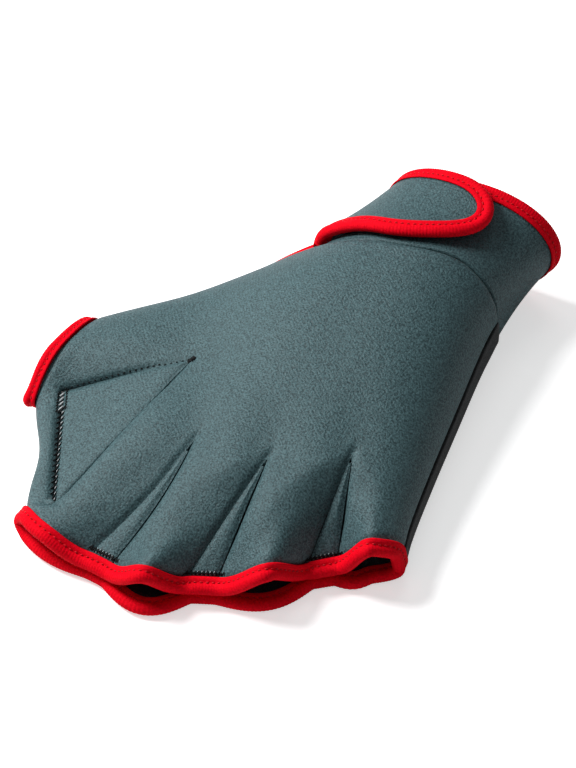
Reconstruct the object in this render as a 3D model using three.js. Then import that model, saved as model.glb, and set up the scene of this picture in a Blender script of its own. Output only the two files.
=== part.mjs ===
// A webbed swim glove for the left hand, lying palm down with its fingers towards -Y.
// Sheets of neoprene are worked out as grids of points and given the cloth's thickness.
import * as THREE from "three";

// Main sizes, in millimetres.
const LENGTH = 210;
const WIDTH = 160;
const HEIGHT = 50;
const WALL = 2.5;
const GAP = 0.35;
const BAND = 6.2;
const BAND_THICK = 4.6;
const RIM_WIDTH = 66;
const RIM_HEIGHT = 47;

// How far in from a side seam the back and the palm are still rounding over.
const BACK_ROUNDING = 0.26 * WIDTH;
const PALM_ROUNDING = 0.08 * WIDTH;
const PALM_BULGE = 0.006 * WIDTH;
const HEM_ROUNDING = 0.04 * WIDTH;

// Share of the way from wrist to edge where the web darts start, and where the thumb web ends.
const DART = 0.6;
const HEM = 0.8;
const HEM_GAP = HEM - 0.0016;

// The hand along its length, from the crease between middle and ring finger: y in shares of LENGTH,
// edge in shares of WIDTH, the heights in shares of HEIGHT.
const HAND = [
  { y: -0.31, edge: 0.372, crown: 0.38, thumb: 0.27, radial: 0.16, ulnar: 0.22 },
  { y: -0.26, edge: 0.370, crown: 0.42, thumb: 0.31, radial: 0.16, ulnar: 0.22 },
  { y: -0.17, edge: 0.366, crown: 0.44, thumb: 0.35, radial: 0.16, ulnar: 0.23 },
  { y: -0.05, edge: 0.356, crown: 0.60, thumb: 0.40, radial: 0.17, ulnar: 0.24 },
  { y: 0.03, edge: 0.332, crown: 0.655, thumb: 0.45, radial: 0.18, ulnar: 0.28 },
  { y: 0.14, edge: 0.311, crown: 0.735, thumb: 0.51, radial: 0.19, ulnar: 0.30 },
  { y: 0.29, edge: 0.288, crown: 0.86, thumb: 0.61, radial: 0.22, ulnar: 0.34 },
  { y: 0.42, edge: 0.270, crown: 0.96, thumb: 0.68, radial: 0.28, ulnar: 0.40 },
  { y: 0.52, edge: 0.264, crown: 1.01, thumb: 0.74, radial: 0.32, ulnar: 0.46 },
];

// Lines down the back from the wrist through the head of each dart to the edge: x in shares of
// WIDTH, y of LENGTH, end heights of HEIGHT. Left and right are the dart's two sides.
const LINES = [
  {
    wx: -0.316, wy: 0.412, ax: -0.464, ay: 0.303, lx: -0.600, ly: 0.194, lz: 0.18,
    rx: -0.600, ry: 0.194, rz: 0.18, bow: 0,
  },
  {
    wx: -0.212, wy: 0.455, ax: -0.306, ay: 0.147, lx: -0.560, ly: 0.015, lz: 0.26,
    rx: -0.400, ry: -0.213, rz: 0.25, bow: 0,
  },
  {
    wx: -0.090, wy: 0.470, ax: -0.181, ay: -0.008, lx: -0.268, ly: -0.252, lz: 0.205,
    rx: -0.212, ry: -0.254, rz: 0.205, bow: 0.014,
  },
  {
    wx: 0.025, wy: 0.480, ax: -0.004, ay: 0.006, lx: -0.047, ly: -0.218, lz: 0.205,
    rx: 0.012, ry: -0.197, rz: 0.205, bow: 0,
  },
  {
    wx: 0.155, wy: 0.502, ax: 0.159, ay: 0.072, lx: 0.169, ly: -0.100, lz: 0.215,
    rx: 0.219, ry: -0.069, rz: 0.225, bow: 0,
  },
  {
    wx: 0.264, wy: 0.497, ax: 0.316, ay: 0.115, lx: 0.354, ly: -0.012, lz: 0.22,
    rx: 0.354, ry: -0.012, rz: 0.22, bow: 0,
  },
];

// Valleys between the knuckles, one above each dart's head, and the first finger's ridge as one of
// less than no depth: middle and direction, depth (of HEIGHT), half width (of WIDTH), and how far
// each runs up to the wrist and down to the tips (of LENGTH).
const VALLEYS = [
  { x: -0.306, y: 0.147, dx: -0.4, dy: 0.9, depth: 0.084, wide: 0.125, up: 0.2, down: 0.124 },
  { x: -0.181, y: -0.008, dx: -0.4, dy: 0.9, depth: 0.036, wide: 0.0594, up: 0.114, down: 0.0667 },
  { x: -0.004, y: 0.006, dx: -0.4, dy: 0.9, depth: 0.036, wide: 0.0594, up: 0.114, down: 0.0667 },
  { x: 0.159, y: 0.072, dx: -0.4, dy: 0.9, depth: 0.036, wide: 0.0594, up: 0.114, down: 0.0667 },
  { x: -0.3, y: -0.06, dx: 0.25, dy: 0.97, depth: -0.056, wide: 0.075, up: 0.162, down: 0.162 },
];

// The two ends of the rolled hem between thumb and first finger, at the bindings.
const HEM_ENDS = {
  left: { x: -0.612, y: -0.018, z: 0.165 },
  right: { x: -0.468, y: -0.222, z: 0.14 },
};
const HEM_WAIST = 0.022 * WIDTH;
const HEM_RISE = 0.03 * HEIGHT;

// The five strips between the lines: how far the edge bulges on the back and on the palm, how each
// side comes down (in a wave to a dart, round to the hem, or with the dome to a side seam), and how
// far across its ridge lies.
const STRIPS = [
  { name: "thumb", bulge: 0.0, under: 0.0, left: "dome", right: "round", ridge: 0.62 },
  { name: "index", bulge: 0.026, under: 0.022, left: "round", right: "wave", ridge: 0.28 },
  { name: "middle", bulge: 0.034, under: 0.050, left: "wave", right: "wave", ridge: 0.32 },
  { name: "ring", bulge: 0.034, under: 0.036, left: "wave", right: "wave", ridge: 0.34 },
  { name: "little", bulge: 0.014, under: 0.014, left: "wave", right: "dome", ridge: 0.55 },
];

// The rim of the cuff, and the tab that closes it: stations are shares of the way around the wrist.
const RIM = { x: 0.098, y: 0.648, z: 0.50, skew: 0.026 };
const CUFF_START = 0.118;
const CUFF_END = 0.870;
const CUFF_INSET = 0.105 * WIDTH;
const CUFF_BULGE = -0.008 * WIDTH;
const TAB_TIP = 0.309;
const TAB = [
  { at: 0.0, low: 0.505, high: 0.620, lift: 0.0 },
  { at: 0.2, low: 0.500, high: 0.634, lift: 0.4 },
  { at: 0.36, low: 0.496, high: 0.648, lift: 1.0 },
  { at: 0.54, low: 0.508, high: 0.645, lift: 1.0 },
  { at: 0.68, low: 0.516, high: 0.638, lift: 1.0 },
  { at: 0.82, low: 0.522, high: 0.631, lift: 1.0 },
  { at: 1.0, low: 0.570, high: 0.605, lift: 1.0 },
];
const PATCH_THICK = 1.0;
const TAB_LIFT = (WALL + BAND_THICK) / 2 + PATCH_THICK + 2 * GAP;
const PAD_AREA = { from: 0.65, to: 1.045, low: 0.543, high: 0.612 };

const clamp = (value, low, high) => Math.min(high, Math.max(low, value));
const mix = (a, b, f) => a + (b - a) * f;
const ease = (f) => {
  const g = clamp(f, 0, 1);
  return g * g * (3 - 2 * g);
};
const rounding = (f) => Math.pow(1 - Math.pow(1 - clamp(f, 0, 1), 2.2), 1 / 2.2);
const vector = (x, y, z) => new THREE.Vector3(x, y, z);

// A smooth curve through one column of a table, read at a value of its key column.
function along(table, key, column, at) {
  let i = 1;
  while (i < table.length - 1 && at > table[i][key]) i += 1;
  const slope = (n) => {
    const a = table[Math.max(0, n - 1)];
    const b = table[Math.min(table.length - 1, n + 1)];
    return (b[column] - a[column]) / (b[key] - a[key]);
  };
  const span = table[i][key] - table[i - 1][key];
  const f = clamp((at - table[i - 1][key]) / span, 0, 1);
  const f2 = f * f;
  const f3 = f2 * f;
  return (2 * f3 - 3 * f2 + 1) * table[i - 1][column] + (f3 - 2 * f2 + f) * span * slope(i - 1)
    + (3 * f2 - 2 * f3) * table[i][column] + (f3 - f2) * span * slope(i);
}

const hand = (column, y) => along(HAND, "y", column, y / LENGTH);

// Distance in from the thumb-side seam, which is a straight line in plan.
const SEAM_START = vector(LINES[0].wx * WIDTH, LINES[0].wy * LENGTH, 0);
const SEAM_END = vector(LINES[0].lx * WIDTH, LINES[0].ly * LENGTH, 0);
const SEAM_IN = vector(SEAM_START.y - SEAM_END.y, SEAM_END.x - SEAM_START.x, 0).normalize();

// Depth of the valleys between the knuckles: bells across each valley's line and along it.
function valleyDepth(x, y) {
  let total = 0;
  for (const valley of VALLEYS) {
    const size = Math.hypot(valley.dx, valley.dy);
    const px = x - valley.x * WIDTH;
    const py = y - valley.y * LENGTH;
    const ahead = (px * valley.dx + py * valley.dy) / size;
    const aside = (px * valley.dy - py * valley.dx) / size;
    const run = (ahead > 0 ? valley.up : valley.down) * LENGTH;
    total += valley.depth * HEIGHT * Math.exp(-Math.pow(aside / (valley.wide * WIDTH), 2) - Math.pow(ahead / run, 2));
  }
  return total;
}

// Height of the back without its darts: a dome that falls to the side seams and to the thumb.
function backHeight(x, y) {
  const fromThumb = (x - SEAM_START.x) * SEAM_IN.x + (y - SEAM_START.y) * SEAM_IN.y;
  const fromEdge = hand("edge", y) * WIDTH - x;
  const lean = 0.45 * ease((-x / WIDTH - 0.05) / 0.3) + 0.55 * ease((-x / WIDTH - 0.05) / 0.56);
  const top = mix(hand("crown", y), hand("thumb", y), lean) * HEIGHT;
  const side = mix(hand("radial", y), hand("ulnar", y), ease(0.5 + x / WIDTH)) * HEIGHT;
  const dome = (top - side) * rounding(fromThumb / BACK_ROUNDING) * rounding(fromEdge / BACK_ROUNDING);
  return side + dome - valleyDepth(x, y);
}

// A point of line k at share t of the way from wrist to edge, on the left or right side of its dart.
function linePoint(k, side, t) {
  const line = LINES[k];
  const end = side === "left" ? [line.lx, line.ly, line.lz] : [line.rx, line.ry, line.rz];
  if (t <= DART) {
    const f = t / DART;
    const y = mix(line.wy, line.ay, f) * LENGTH;
    const x = k === 5 ? hand("edge", y) * WIDTH : mix(line.wx, line.ax, f) * WIDTH;
    return vector(x, y, backHeight(x, y));
  }
  const stop = k === 1 ? HEM : 1;
  const f = clamp((t - DART) / (stop - DART), 0, 1);
  const headX = k === 5 ? hand("edge", line.ay * LENGTH) : line.ax;
  const headZ = backHeight(headX * WIDTH, line.ay * LENGTH);
  const y = mix(line.ay, end[1], f) * LENGTH;
  let x = mix(headX, end[0], f) * WIDTH + line.bow * WIDTH * Math.sin(Math.PI * f);
  if (k === 5) x = hand("edge", y) * WIDTH;
  const point = vector(x, y, mix(headZ, end[2] * HEIGHT, Math.pow(f, 1.2)));
  if (k !== 1 || t <= HEM) return point;
  const out = HEM_ENDS[side];
  const a = (Math.PI / 2) * (t - HEM) / (1 - HEM);
  return vector(
    mix(point.x, out.x * WIDTH, Math.sin(a)),
    mix(point.y, out.y * LENGTH, Math.sin(a)),
    mix(out.z * HEIGHT, point.z, Math.cos(a)),
  );
}

// A smooth row between two lines, straightening towards the edge where the strips part.
function between(j, s, t, lineAt) {
  const a = lineAt(j, "right", t);
  const b = lineAt(j + 1, "left", t);
  const chord = b.clone().sub(a);
  const before = j > 0 ? lineAt(j - 1, "right", t) : a.clone().sub(chord);
  const after = j < 4 ? lineAt(j + 2, "left", t) : b.clone().add(chord);
  const part = clamp((t - DART) / (1 - DART), 0, 1);
  const out = b.clone().sub(before).multiplyScalar(0.5).lerp(chord, part);
  const into = after.clone().sub(a).multiplyScalar(0.5).lerp(chord, part);
  const s2 = s * s;
  const s3 = s2 * s;
  const point = a.multiplyScalar(2 * s3 - 3 * s2 + 1).addScaledVector(out, s3 - 2 * s2 + s)
    .addScaledVector(b, 3 * s2 - 2 * s3).addScaledVector(into, s3 - s2);
  const bulge = lineAt === linePoint ? STRIPS[j].bulge : STRIPS[j].under;
  const swell = bulge * WIDTH * Math.sin(Math.PI * s) * Math.pow(part, 3);
  const away = vector(chord.y, -chord.x, 0).normalize();
  return point.addScaledVector(away, swell);
}

// How far up its arch a finger strip is: steep from the dart on its thumb side to its ridge, an even
// fall to the dart on its other side, and a soft wave at the very edge.
function archHeight(j, s, t) {
  const { left, right, ridge } = STRIPS[j];
  const part = clamp((t - DART) / (1 - DART), 0, 1);
  const soft = ease((part - 0.55) / 0.45);
  const spread = ease(part / 0.5);
  const near = clamp(s / mix(0.08, ridge, spread), 0, 1);
  const far = clamp((1 - s) / mix(0.2, 1.12 - ridge, spread), 0, 1);
  const steep = (g) => Math.pow(1 - Math.pow(1 - g, 2), 0.8);
  let height = 1;
  if (left === "round") height *= steep(near);
  if (left === "wave") height *= mix(steep(near), ease(s / 0.5), soft);
  if (right === "round") height *= steep(far);
  if (right === "wave") height *= mix(1 - Math.pow(1 - far, 1.7), ease((1 - s) / 0.5), soft);
  return height;
}

function backPoint(j, s, t) {
  const point = between(j, s, t, linePoint);
  const top = backHeight(point.x, point.y);
  if (t <= DART) return vector(point.x, point.y, top);
  const base = mix(linePoint(j, "right", t).z, linePoint(j + 1, "left", t).z, s);
  return vector(point.x, point.y, base + (top - base) * archHeight(j, s, t));
}

// The rolled hem: across runs 0 to 1 from the web over the top, and 1 to 2 back underneath.
function hemUnder(distance, height) {
  const f = clamp(1 - distance / HEM_ROUNDING, 0, 1);
  return height * (1 - Math.sqrt(1 - f * f));
}

function hemPoint(across, w) {
  const t = HEM + (1 - HEM) * Math.min(across, 1);
  const top = linePoint(1, "left", t).lerp(linePoint(1, "right", t), w);
  const inner = linePoint(1, "left", HEM).lerp(linePoint(1, "right", HEM), w);
  const outer = linePoint(1, "left", 1).lerp(linePoint(1, "right", 1), w);
  const inward = inner.clone().sub(outer).setZ(0).normalize();
  const waist = HEM_WAIST * Math.pow(Math.sin(Math.PI * w), 2);
  outer.addScaledVector(inward, waist);
  if (across <= 1) {
    top.addScaledVector(inward, waist * Math.sin((Math.PI / 2) * across));
    top.z += HEM_RISE * Math.sin(Math.PI * across) * ease(Math.sin(Math.PI * w) * 2);
    return top;
  }
  const point = outer.clone().lerp(inner, Math.pow(across - 1, 1.6));
  const distance = Math.hypot(point.x - outer.x, point.y - outer.y);
  return vector(point.x, point.y, hemUnder(distance, outer.z));
}

// The palm follows the same lines a rounding's width inside the two side seams.
function seamInward(k, t) {
  const seam = linePoint(k, "left", t);
  const inner = k === 0 ? linePoint(1, "left", t) : linePoint(4, "right", t);
  return inner.sub(seam).setZ(0).normalize();
}

function palmLine(k, side, t) {
  const point = linePoint(k, side, t).setZ(0);
  if (k === 0 || k === 5) return point.addScaledVector(seamInward(k, t), PALM_ROUNDING);
  if (k === 1 && t > HEM_GAP) {
    const from = linePoint(1, side, HEM).setZ(0);
    const to = linePoint(1, side, 1).setZ(0);
    const aside = vector(from.y - to.y, to.x - from.x, 0).normalize();
    return point.addScaledVector(aside, side === "left" ? -GAP : GAP);
  }
  return point;
}

// Lifts the edges that carry a binding, so that the binding rests level with the palm.
const EDGE_LIFT = (BAND_THICK - WALL) / 2 + 0.04;
const palmLift = (t) => EDGE_LIFT * Math.max(ease((t - 0.93) / 0.07), ease((0.07 - t) / 0.07));

function hemCorner(side, t) {
  if (t <= HEM) return 0;
  const end = linePoint(1, side, 1);
  const here = linePoint(1, side, t);
  return hemUnder(Math.hypot(end.x - here.x, end.y - here.y), end.z - GAP);
}

function palmPoint(j, s, t) {
  const point = between(j, s, t, palmLine);
  point.z = palmLift(t);
  const upturn = (f) => 1 - Math.sqrt(1 - Math.pow(clamp((f - 0.6) / 0.4, 0, 1), 2));
  if (j === 0) point.z = Math.max(point.z, hemCorner("left", t) * upturn(s));
  if (j === 1) point.z = Math.max(point.z, hemCorner("right", t) * upturn(1 - s));
  return point;
}

// A flat web of the palm between the two sides of dart k.
function palmWeb(k, s, t) {
  const point = palmLine(k, "left", t).lerp(palmLine(k, "right", t), s);
  return point.setZ(palmLift(t));
}

// The palm's rounded side, from its flat to just under the side seam.
function palmSide(k, f, t) {
  const seam = linePoint(k, "left", t);
  const top = backHeight(seam.x, seam.y) - 2 * GAP;
  const bottom = palmLift(t);
  const level = mix(bottom, top, 0.5);
  const reach = PALM_ROUNDING + PALM_BULGE;
  const last = Math.acos(PALM_ROUNDING / reach);
  const angle = mix(-Math.PI / 2, last, f);
  const out = reach * Math.cos(angle) - PALM_ROUNDING;
  const up = angle < 0 ? (level - bottom) * Math.sin(angle) : (top - level) * Math.sin(angle) / Math.sin(last);
  const point = seam.addScaledVector(seamInward(k, t), -out);
  return vector(point.x, point.y, level + up);
}

// Spacings along a side: even, crowded at the start, at the end, or at both.
const even = (n) => Array.from({ length: n + 1 }, (_, i) => i / n);
const crowdStart = (n) => even(n).map((f) => 1 - Math.cos((f * Math.PI) / 2));
const crowdBoth = (n) => even(n).map((f) => (1 - Math.cos(f * Math.PI)) / 2);

const HEM_STEPS = even(3);
const ROWS = [
  ...even(8).map((f) => f * DART),
  ...even(4).slice(1, -1).map((f) => mix(DART, HEM, f)),
  HEM_GAP,
  ...HEM_STEPS.map((f) => mix(HEM, 1, f)),
];
const STRIP_STEPS = [7, 5, 5, 5, 7].map(crowdBoth);
const UPTURN = [0, 0.4, 0.7, 0.85, 0.95, 1];
const PALM_STEPS = [UPTURN, UPTURN.map((f) => 1 - f).reverse(), even(3), even(3), even(3)];

// One grid of points over two lists of parameters.
const grid = (firsts, seconds, pointAt) => firsts.map((a) => seconds.map((b) => pointAt(a, b)));

// Joins grids at their shared points into one sheet of triangles.
function sheet(grids, flip) {
  const points = [];
  const faces = [];
  const known = new Map();
  const number = (p) => {
    const name = [p.x, p.y, p.z].map((v) => Math.round(v * 2000)).join(",");
    if (!known.has(name)) {
      known.set(name, points.length);
      points.push(p);
    }
    return known.get(name);
  };
  const face = (a, b, c) => {
    if (a === b || b === c || c === a) return;
    faces.push(flip ? [a, c, b] : [a, b, c]);
  };
  for (const rows of grids) {
    for (let i = 1; i < rows.length; i += 1) {
      for (let j = 1; j < rows[i].length; j += 1) {
        const a = number(rows[i - 1][j - 1]);
        const b = number(rows[i][j - 1]);
        const c = number(rows[i][j]);
        const d = number(rows[i - 1][j]);
        face(a, b, c);
        face(a, c, d);
      }
    }
  }
  return { points, faces };
}

// Smooth outward direction at every point of a sheet.
function directions({ points, faces }) {
  const normals = points.map(() => vector(0, 0, 0));
  for (const [a, b, c] of faces) {
    const ab = points[b].clone().sub(points[a]);
    const normal = ab.cross(points[c].clone().sub(points[a]));
    for (const n of [a, b, c]) normals[n].add(normal);
  }
  return normals.map((n) => n.normalize());
}

// Gives a sheet the cloth's thickness on its inside and closes its edges.
function thicken(cloth, wall) {
  const { points, faces } = cloth;
  const normals = directions(cloth);
  const count = points.length;
  const all = [...points, ...points.map((p, n) => p.clone().addScaledVector(normals[n], -wall))];
  const triangles = [];
  const edges = new Map();
  for (const [a, b, c] of faces) {
    triangles.push([a, b, c], [a + count, c + count, b + count]);
    for (const [p, q] of [[a, b], [b, c], [c, a]]) {
      if (edges.has(`${q},${p}`)) edges.delete(`${q},${p}`);
      else edges.set(`${p},${q}`, [p, q]);
    }
  }
  for (const [p, q] of edges.values()) {
    triangles.push([p, p + count, q + count], [p, q + count, q]);
  }
  return solid(all, triangles);
}

function solid(points, triangles) {
  const geometry = new THREE.BufferGeometry();
  geometry.setAttribute("position", new THREE.Float32BufferAttribute(points.flatMap((p) => p.toArray()), 3));
  geometry.setIndex(triangles.flat());
  geometry.computeVertexNormals();
  return geometry;
}

// The back: five strips open at the darts, and the rolled hem.
const backGrids = [
  ...STRIPS.map((_, j) => grid(ROWS, STRIP_STEPS[j], (t, s) => backPoint(j, s, t))),
  grid([...HEM_STEPS, 1.3, 1.6, 1.8, 1.985], even(9), (across, w) => hemPoint(across, w)),
];

// The palm: the same strips with the webs filled in, and its two rounded sides.
const SIDE_STEPS = even(5);
const palmRows = ROWS;
const palmDarts = palmRows.filter((t) => t >= DART - 1e-9);
const webStops = [0, HEM_GAP, 1, 1, 1, 1];
const palmGrids = [
  ...STRIPS.map((_, j) => grid(palmRows, PALM_STEPS[j], (t, s) => palmPoint(j, s, t))),
  ...[1, 2, 3, 4].map((k) => grid(palmDarts.filter((t) => t <= webStops[k]), even(1), (t, s) => palmWeb(k, s, t))),
  grid(palmRows, SIDE_STEPS, (t, f) => palmSide(5, f, t)),
  grid(palmRows, SIDE_STEPS.slice().reverse(), (t, f) => palmSide(0, f, t)),
];

// A web laid into dart k, a gap inside both of its seams.
function webPoint(k, s, t) {
  const left = linePoint(k, "left", t);
  const right = linePoint(k, "right", t);
  const inset = clamp(GAP / left.distanceTo(right), 0, 0.45);
  return left.lerp(right, mix(inset, 1 - inset, s));
}
function webRows(k) {
  const last = k === 1 ? HEM_GAP : 1;
  const width = linePoint(k, "left", last).distanceTo(linePoint(k, "right", last));
  const first = mix(DART, last, (3 * GAP) / width);
  return crowdStart(6).map((f) => mix(first, last, f));
}
const web = (k) => thicken(sheet([grid(webRows(k), even(2), (t, s) => webPoint(k, s, t))], false), WALL);

// An edge to be bound: its points, and the direction that leads out of the cloth at each. Each
// opening has its own axis, which dips where the edge is high off the floor; the share of the
// cloth's own slope is the third thing mixed in.
const OPENINGS = {
  fingers: { x: 0, y: -1, low: 0.1, high: -0.4, slope: 0.3 },
  thumb: { x: -1, y: 0, low: 0.2, high: -0.1, slope: 1.2 },
  wrist: { x: 0, y: 1, low: 0, high: 0, slope: 0.3 },
};
function edgeOf(pointAt, steps, last, inside, opening) {
  const { x, y, low, high, slope } = OPENINGS[opening];
  return steps.map((s) => {
    const p = pointAt(s, last);
    const out = p.clone().sub(pointAt(s, inside)).normalize();
    const axis = vector(x, y, mix(low, high, ease(p.z / (0.3 * HEIGHT))));
    return { p, out: out.multiplyScalar(slope).add(axis).normalize() };
  });
}

function resample(edge, count, closed) {
  const ring = closed ? [...edge, edge[0]] : edge;
  const far = [0];
  for (let i = 1; i < ring.length; i += 1) far.push(far[i - 1] + ring[i].p.distanceTo(ring[i - 1].p));
  const total = far[far.length - 1];
  const stops = Array.from({ length: count }, (_, i) => (total * i) / (closed ? count : count - 1));
  let i = 1;
  return stops.map((stop) => {
    while (i < ring.length - 1 && far[i] < stop) i += 1;
    const f = clamp((stop - far[i - 1]) / Math.max(1e-9, far[i] - far[i - 1]), 0, 1);
    return { p: ring[i - 1].p.clone().lerp(ring[i].p, f), out: ring[i - 1].out.clone().lerp(ring[i].out, f) };
  });
}

function soften(edge, key, times, closed) {
  let now = edge;
  for (let k = 0; k < times; k += 1) {
    now = now.map((item, i) => {
      if (!closed && (i === 0 || i === now.length - 1)) return item;
      const a = now[(i + now.length - 1) % now.length][key];
      const b = now[(i + 1) % now.length][key];
      const mid = a.clone().add(b).multiplyScalar(0.5);
      return { ...item, [key]: item[key].clone().lerp(mid, 0.5) };
    });
  }
  return now;
}

// Section of the binding: out of the cloth in shares of BAND, across in shares of BAND_THICK.
const SECTION = [
  { out: 0.14, up: 0.42 },
  { out: 0.52, up: 0.50 },
  { out: 0.88, up: 0.34 },
  { out: 1.0, up: 0.0 },
  { out: 0.88, up: -0.34 },
  { out: 0.52, up: -0.50 },
  { out: 0.14, up: -0.42 },
];

// A binding along an edge; turn is +1 or -1, for which side of the edge is the cloth's outside.
function binding(edge, count, closed, turn, band = BAND, thick = BAND_THICK) {
  let path = resample(edge, count, closed);
  path = soften(path, "p", 2, closed);
  path = soften(path, "out", 5, closed);
  const size = SECTION.length;
  const points = [];
  path.forEach(({ p, out }, i) => {
    const before = path[closed ? (i + count - 1) % count : Math.max(0, i - 1)].p;
    const after = path[closed ? (i + 1) % count : Math.min(count - 1, i + 1)].p;
    const ahead = after.clone().sub(before).normalize();
    const away = out.clone().addScaledVector(ahead, -out.dot(ahead)).normalize();
    const up = ahead.clone().cross(away).multiplyScalar(turn);
    for (const step of SECTION) {
      points.push(p.clone().addScaledVector(up, step.up * thick - WALL / 2)
        .addScaledVector(away, step.out * band));
    }
  });
  const triangles = [];
  const rings = closed ? count : count - 1;
  for (let i = 0; i < rings; i += 1) {
    const next = (i + 1) % count;
    for (let j = 0; j < size; j += 1) {
      const k = (j + 1) % size;
      const [a, b, c, d] = [i * size + j, next * size + j, next * size + k, i * size + k];
      triangles.push(turn > 0 ? [a, b, c] : [a, c, b], turn > 0 ? [a, c, d] : [a, d, c]);
    }
  }
  if (!closed) {
    const last = (count - 1) * size;
    for (let j = 1; j < size - 1; j += 1) {
      triangles.push(turn > 0 ? [0, j, j + 1] : [0, j + 1, j]);
      triangles.push(turn > 0 ? [last, last + j + 1, last + j] : [last, last + j, last + j + 1]);
    }
  }
  return solid(points, triangles);
}

const strip = (j) => (s, t) => backPoint(j, s, t);
const backWeb = (k) => (s, t) => linePoint(k, "left", t).lerp(linePoint(k, "right", t), s);
const palmStrip = (j) => (s, t) => palmPoint(j, s, t);
const palmWebAt = (k) => (s, t) => palmWeb(k, s, t);
const palmSideAt = (k) => (s, t) => palmSide(k, s, t);
const run = even(12);
const back = run.slice().reverse();
const turnBack = even(6).reverse();
const fingerEdge = [
  ...edgeOf(strip(1), run, 1, 0.95, "fingers"),
  ...edgeOf(backWeb(2), [0.5], 1, 0.95, "fingers"),
  ...edgeOf(strip(2), run, 1, 0.95, "fingers"),
  ...edgeOf(backWeb(3), [0.5], 1, 0.95, "fingers"),
  ...edgeOf(strip(3), run, 1, 0.95, "fingers"),
  ...edgeOf(backWeb(4), [0.5], 1, 0.95, "fingers"),
  ...edgeOf(strip(4), run, 1, 0.95, "fingers"),
  ...edgeOf(palmSideAt(5), turnBack, 1, 0.95, "fingers"),
  ...edgeOf(palmStrip(4), back, 1, 0.95, "fingers"),
  ...edgeOf(palmWebAt(4), [0.5], 1, 0.95, "fingers"),
  ...edgeOf(palmStrip(3), back, 1, 0.95, "fingers"),
  ...edgeOf(palmWebAt(3), [0.5], 1, 0.95, "fingers"),
  ...edgeOf(palmStrip(2), back, 1, 0.95, "fingers"),
  ...edgeOf(palmWebAt(2), [0.5], 1, 0.95, "fingers"),
  ...edgeOf(palmStrip(1), back.slice(0, -1), 1, 0.95, "fingers"),
];
const thumbEdge = [
  ...edgeOf(strip(0), run, 1, 0.95, "thumb"),
  ...edgeOf(palmStrip(0), back.slice(1), 1, 0.95, "thumb"),
  ...edgeOf(palmSideAt(0), even(6).slice(0, -1), 1, 0.95, "thumb"),
];

// The wrist edge of back and palm as one ring, from the thumb-side seam over the back and round.
const wristEdge = [
  ...STRIPS.flatMap((_, j) => edgeOf(strip(j), even(8).slice(0, -1), 0, 0.03, "wrist")),
  ...edgeOf(palmSideAt(5), turnBack.slice(0, -1), 0, 0.03, "wrist"),
  ...STRIPS.map((_, n) => 4 - n).flatMap((j) => edgeOf(palmStrip(j), even(6).reverse().slice(0, -1), 0, 0.03, "wrist")),
  ...edgeOf(palmSideAt(0), even(6), 0, 0.03, "wrist"),
];

// The ring's point and its outward direction at a share of the way around.
const wristRing = soften(resample(wristEdge, 120, true), "p", 2, true);
function wristAt(u) {
  const count = wristRing.length;
  const place = (((u % 1) + 1) % 1) * count;
  const i = Math.floor(place) % count;
  const f = place - Math.floor(place);
  const at = (n) => wristRing[((n % count) + count) % count].p;
  const p = at(i).clone().lerp(at(i + 1), f);
  const ahead = at(i + 2).clone().sub(at(i - 1)).normalize();
  const outward = ahead.cross(vector(0, 1, 0)).normalize();
  return { p, outward };
}

// The cuff's surface: around in shares of the ring, up from the hand's edge to the rim.
const STEP = 0.9;
const SLIT = 0.45;
function cuffPoint(u, s) {
  const { p, outward } = wristAt(u);
  const foot = p.addScaledVector(outward, -STEP);
  foot.y += 2 * GAP;
  const turn = ((u + 0.5) % 1) - 0.5;
  const open = ease(turn > 0 ? 1 - turn / CUFF_START : 1 - turn / (CUFF_END - 1));
  foot.x += CUFF_INSET * open;
  foot.y = mix(foot.y, SLIT * LENGTH, open);
  const x = RIM.x * WIDTH;
  const z = RIM.z * HEIGHT;
  const angle = Math.atan2((foot.z - 0.46 * HEIGHT) / RIM_HEIGHT, (foot.x + 0.015 * WIDTH) / RIM_WIDTH);
  const rim = vector(
    x + (RIM_WIDTH / 2) * Math.cos(angle),
    RIM.y * LENGTH + RIM.skew * LENGTH * 0.5 * Math.cos(angle),
    z + (RIM_HEIGHT / 2) * Math.sin(angle),
  );
  const bulge = CUFF_BULGE * Math.sin(Math.PI * s) * ease(foot.z / (0.3 * HEIGHT));
  return foot.lerp(rim, s).addScaledVector(outward, bulge);
}

function cuffOut(u, s) {
  const around = cuffPoint(u + 0.004, s).sub(cuffPoint(u - 0.004, s));
  const up = cuffPoint(u, s + 0.02).sub(cuffPoint(u, s - 0.02));
  return around.cross(up).normalize();
}

// The tab: along runs from its root beside the cuff's end, round the thumb side, to the tip.
const TAB_ROOT = CUFF_END - 1 + 0.01;
const TIP_ROUND = 0.82;
function tabPoint(across, f, lift) {
  const u = mix(TAB_ROOT, TAB_TIP, f);
  const low = along(TAB, "at", "low", f) * LENGTH;
  const high = along(TAB, "at", "high", f) * LENGTH;
  const narrow = Math.sqrt(Math.max(0, 1 - Math.pow(clamp((f - TIP_ROUND) / (1 - TIP_ROUND), 0, 1), 2)));
  const middle = (low + high) / 2;
  const y = middle + (across - 0.5) * (high - low) * narrow;
  const foot = cuffPoint(u, 0).y;
  const s = (y - foot) / (cuffPoint(u, 1).y - foot);
  const rise = along(TAB, "at", "lift", f) * lift;
  return cuffPoint(u, s).addScaledVector(cuffOut(u, clamp(s, 0.05, 0.95)), rise);
}

const tipSteps = (last, n) => even(n).map((f) => TIP_ROUND + (1 - TIP_ROUND) * Math.sin(f * last * Math.PI / 2));
const tabSteps = [...even(12).map((f) => f * TIP_ROUND), ...tipSteps(0.7, 5).slice(1)];
const tabGrid = grid(tabSteps, even(4), (f, q) => tabPoint(q, f, TAB_LIFT));
const cuffSpan = even(30).map((f) => mix(CUFF_START, CUFF_END, f));
const cuffGrid = grid(cuffSpan, even(5), (u, s) => cuffPoint(u, s));

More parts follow.
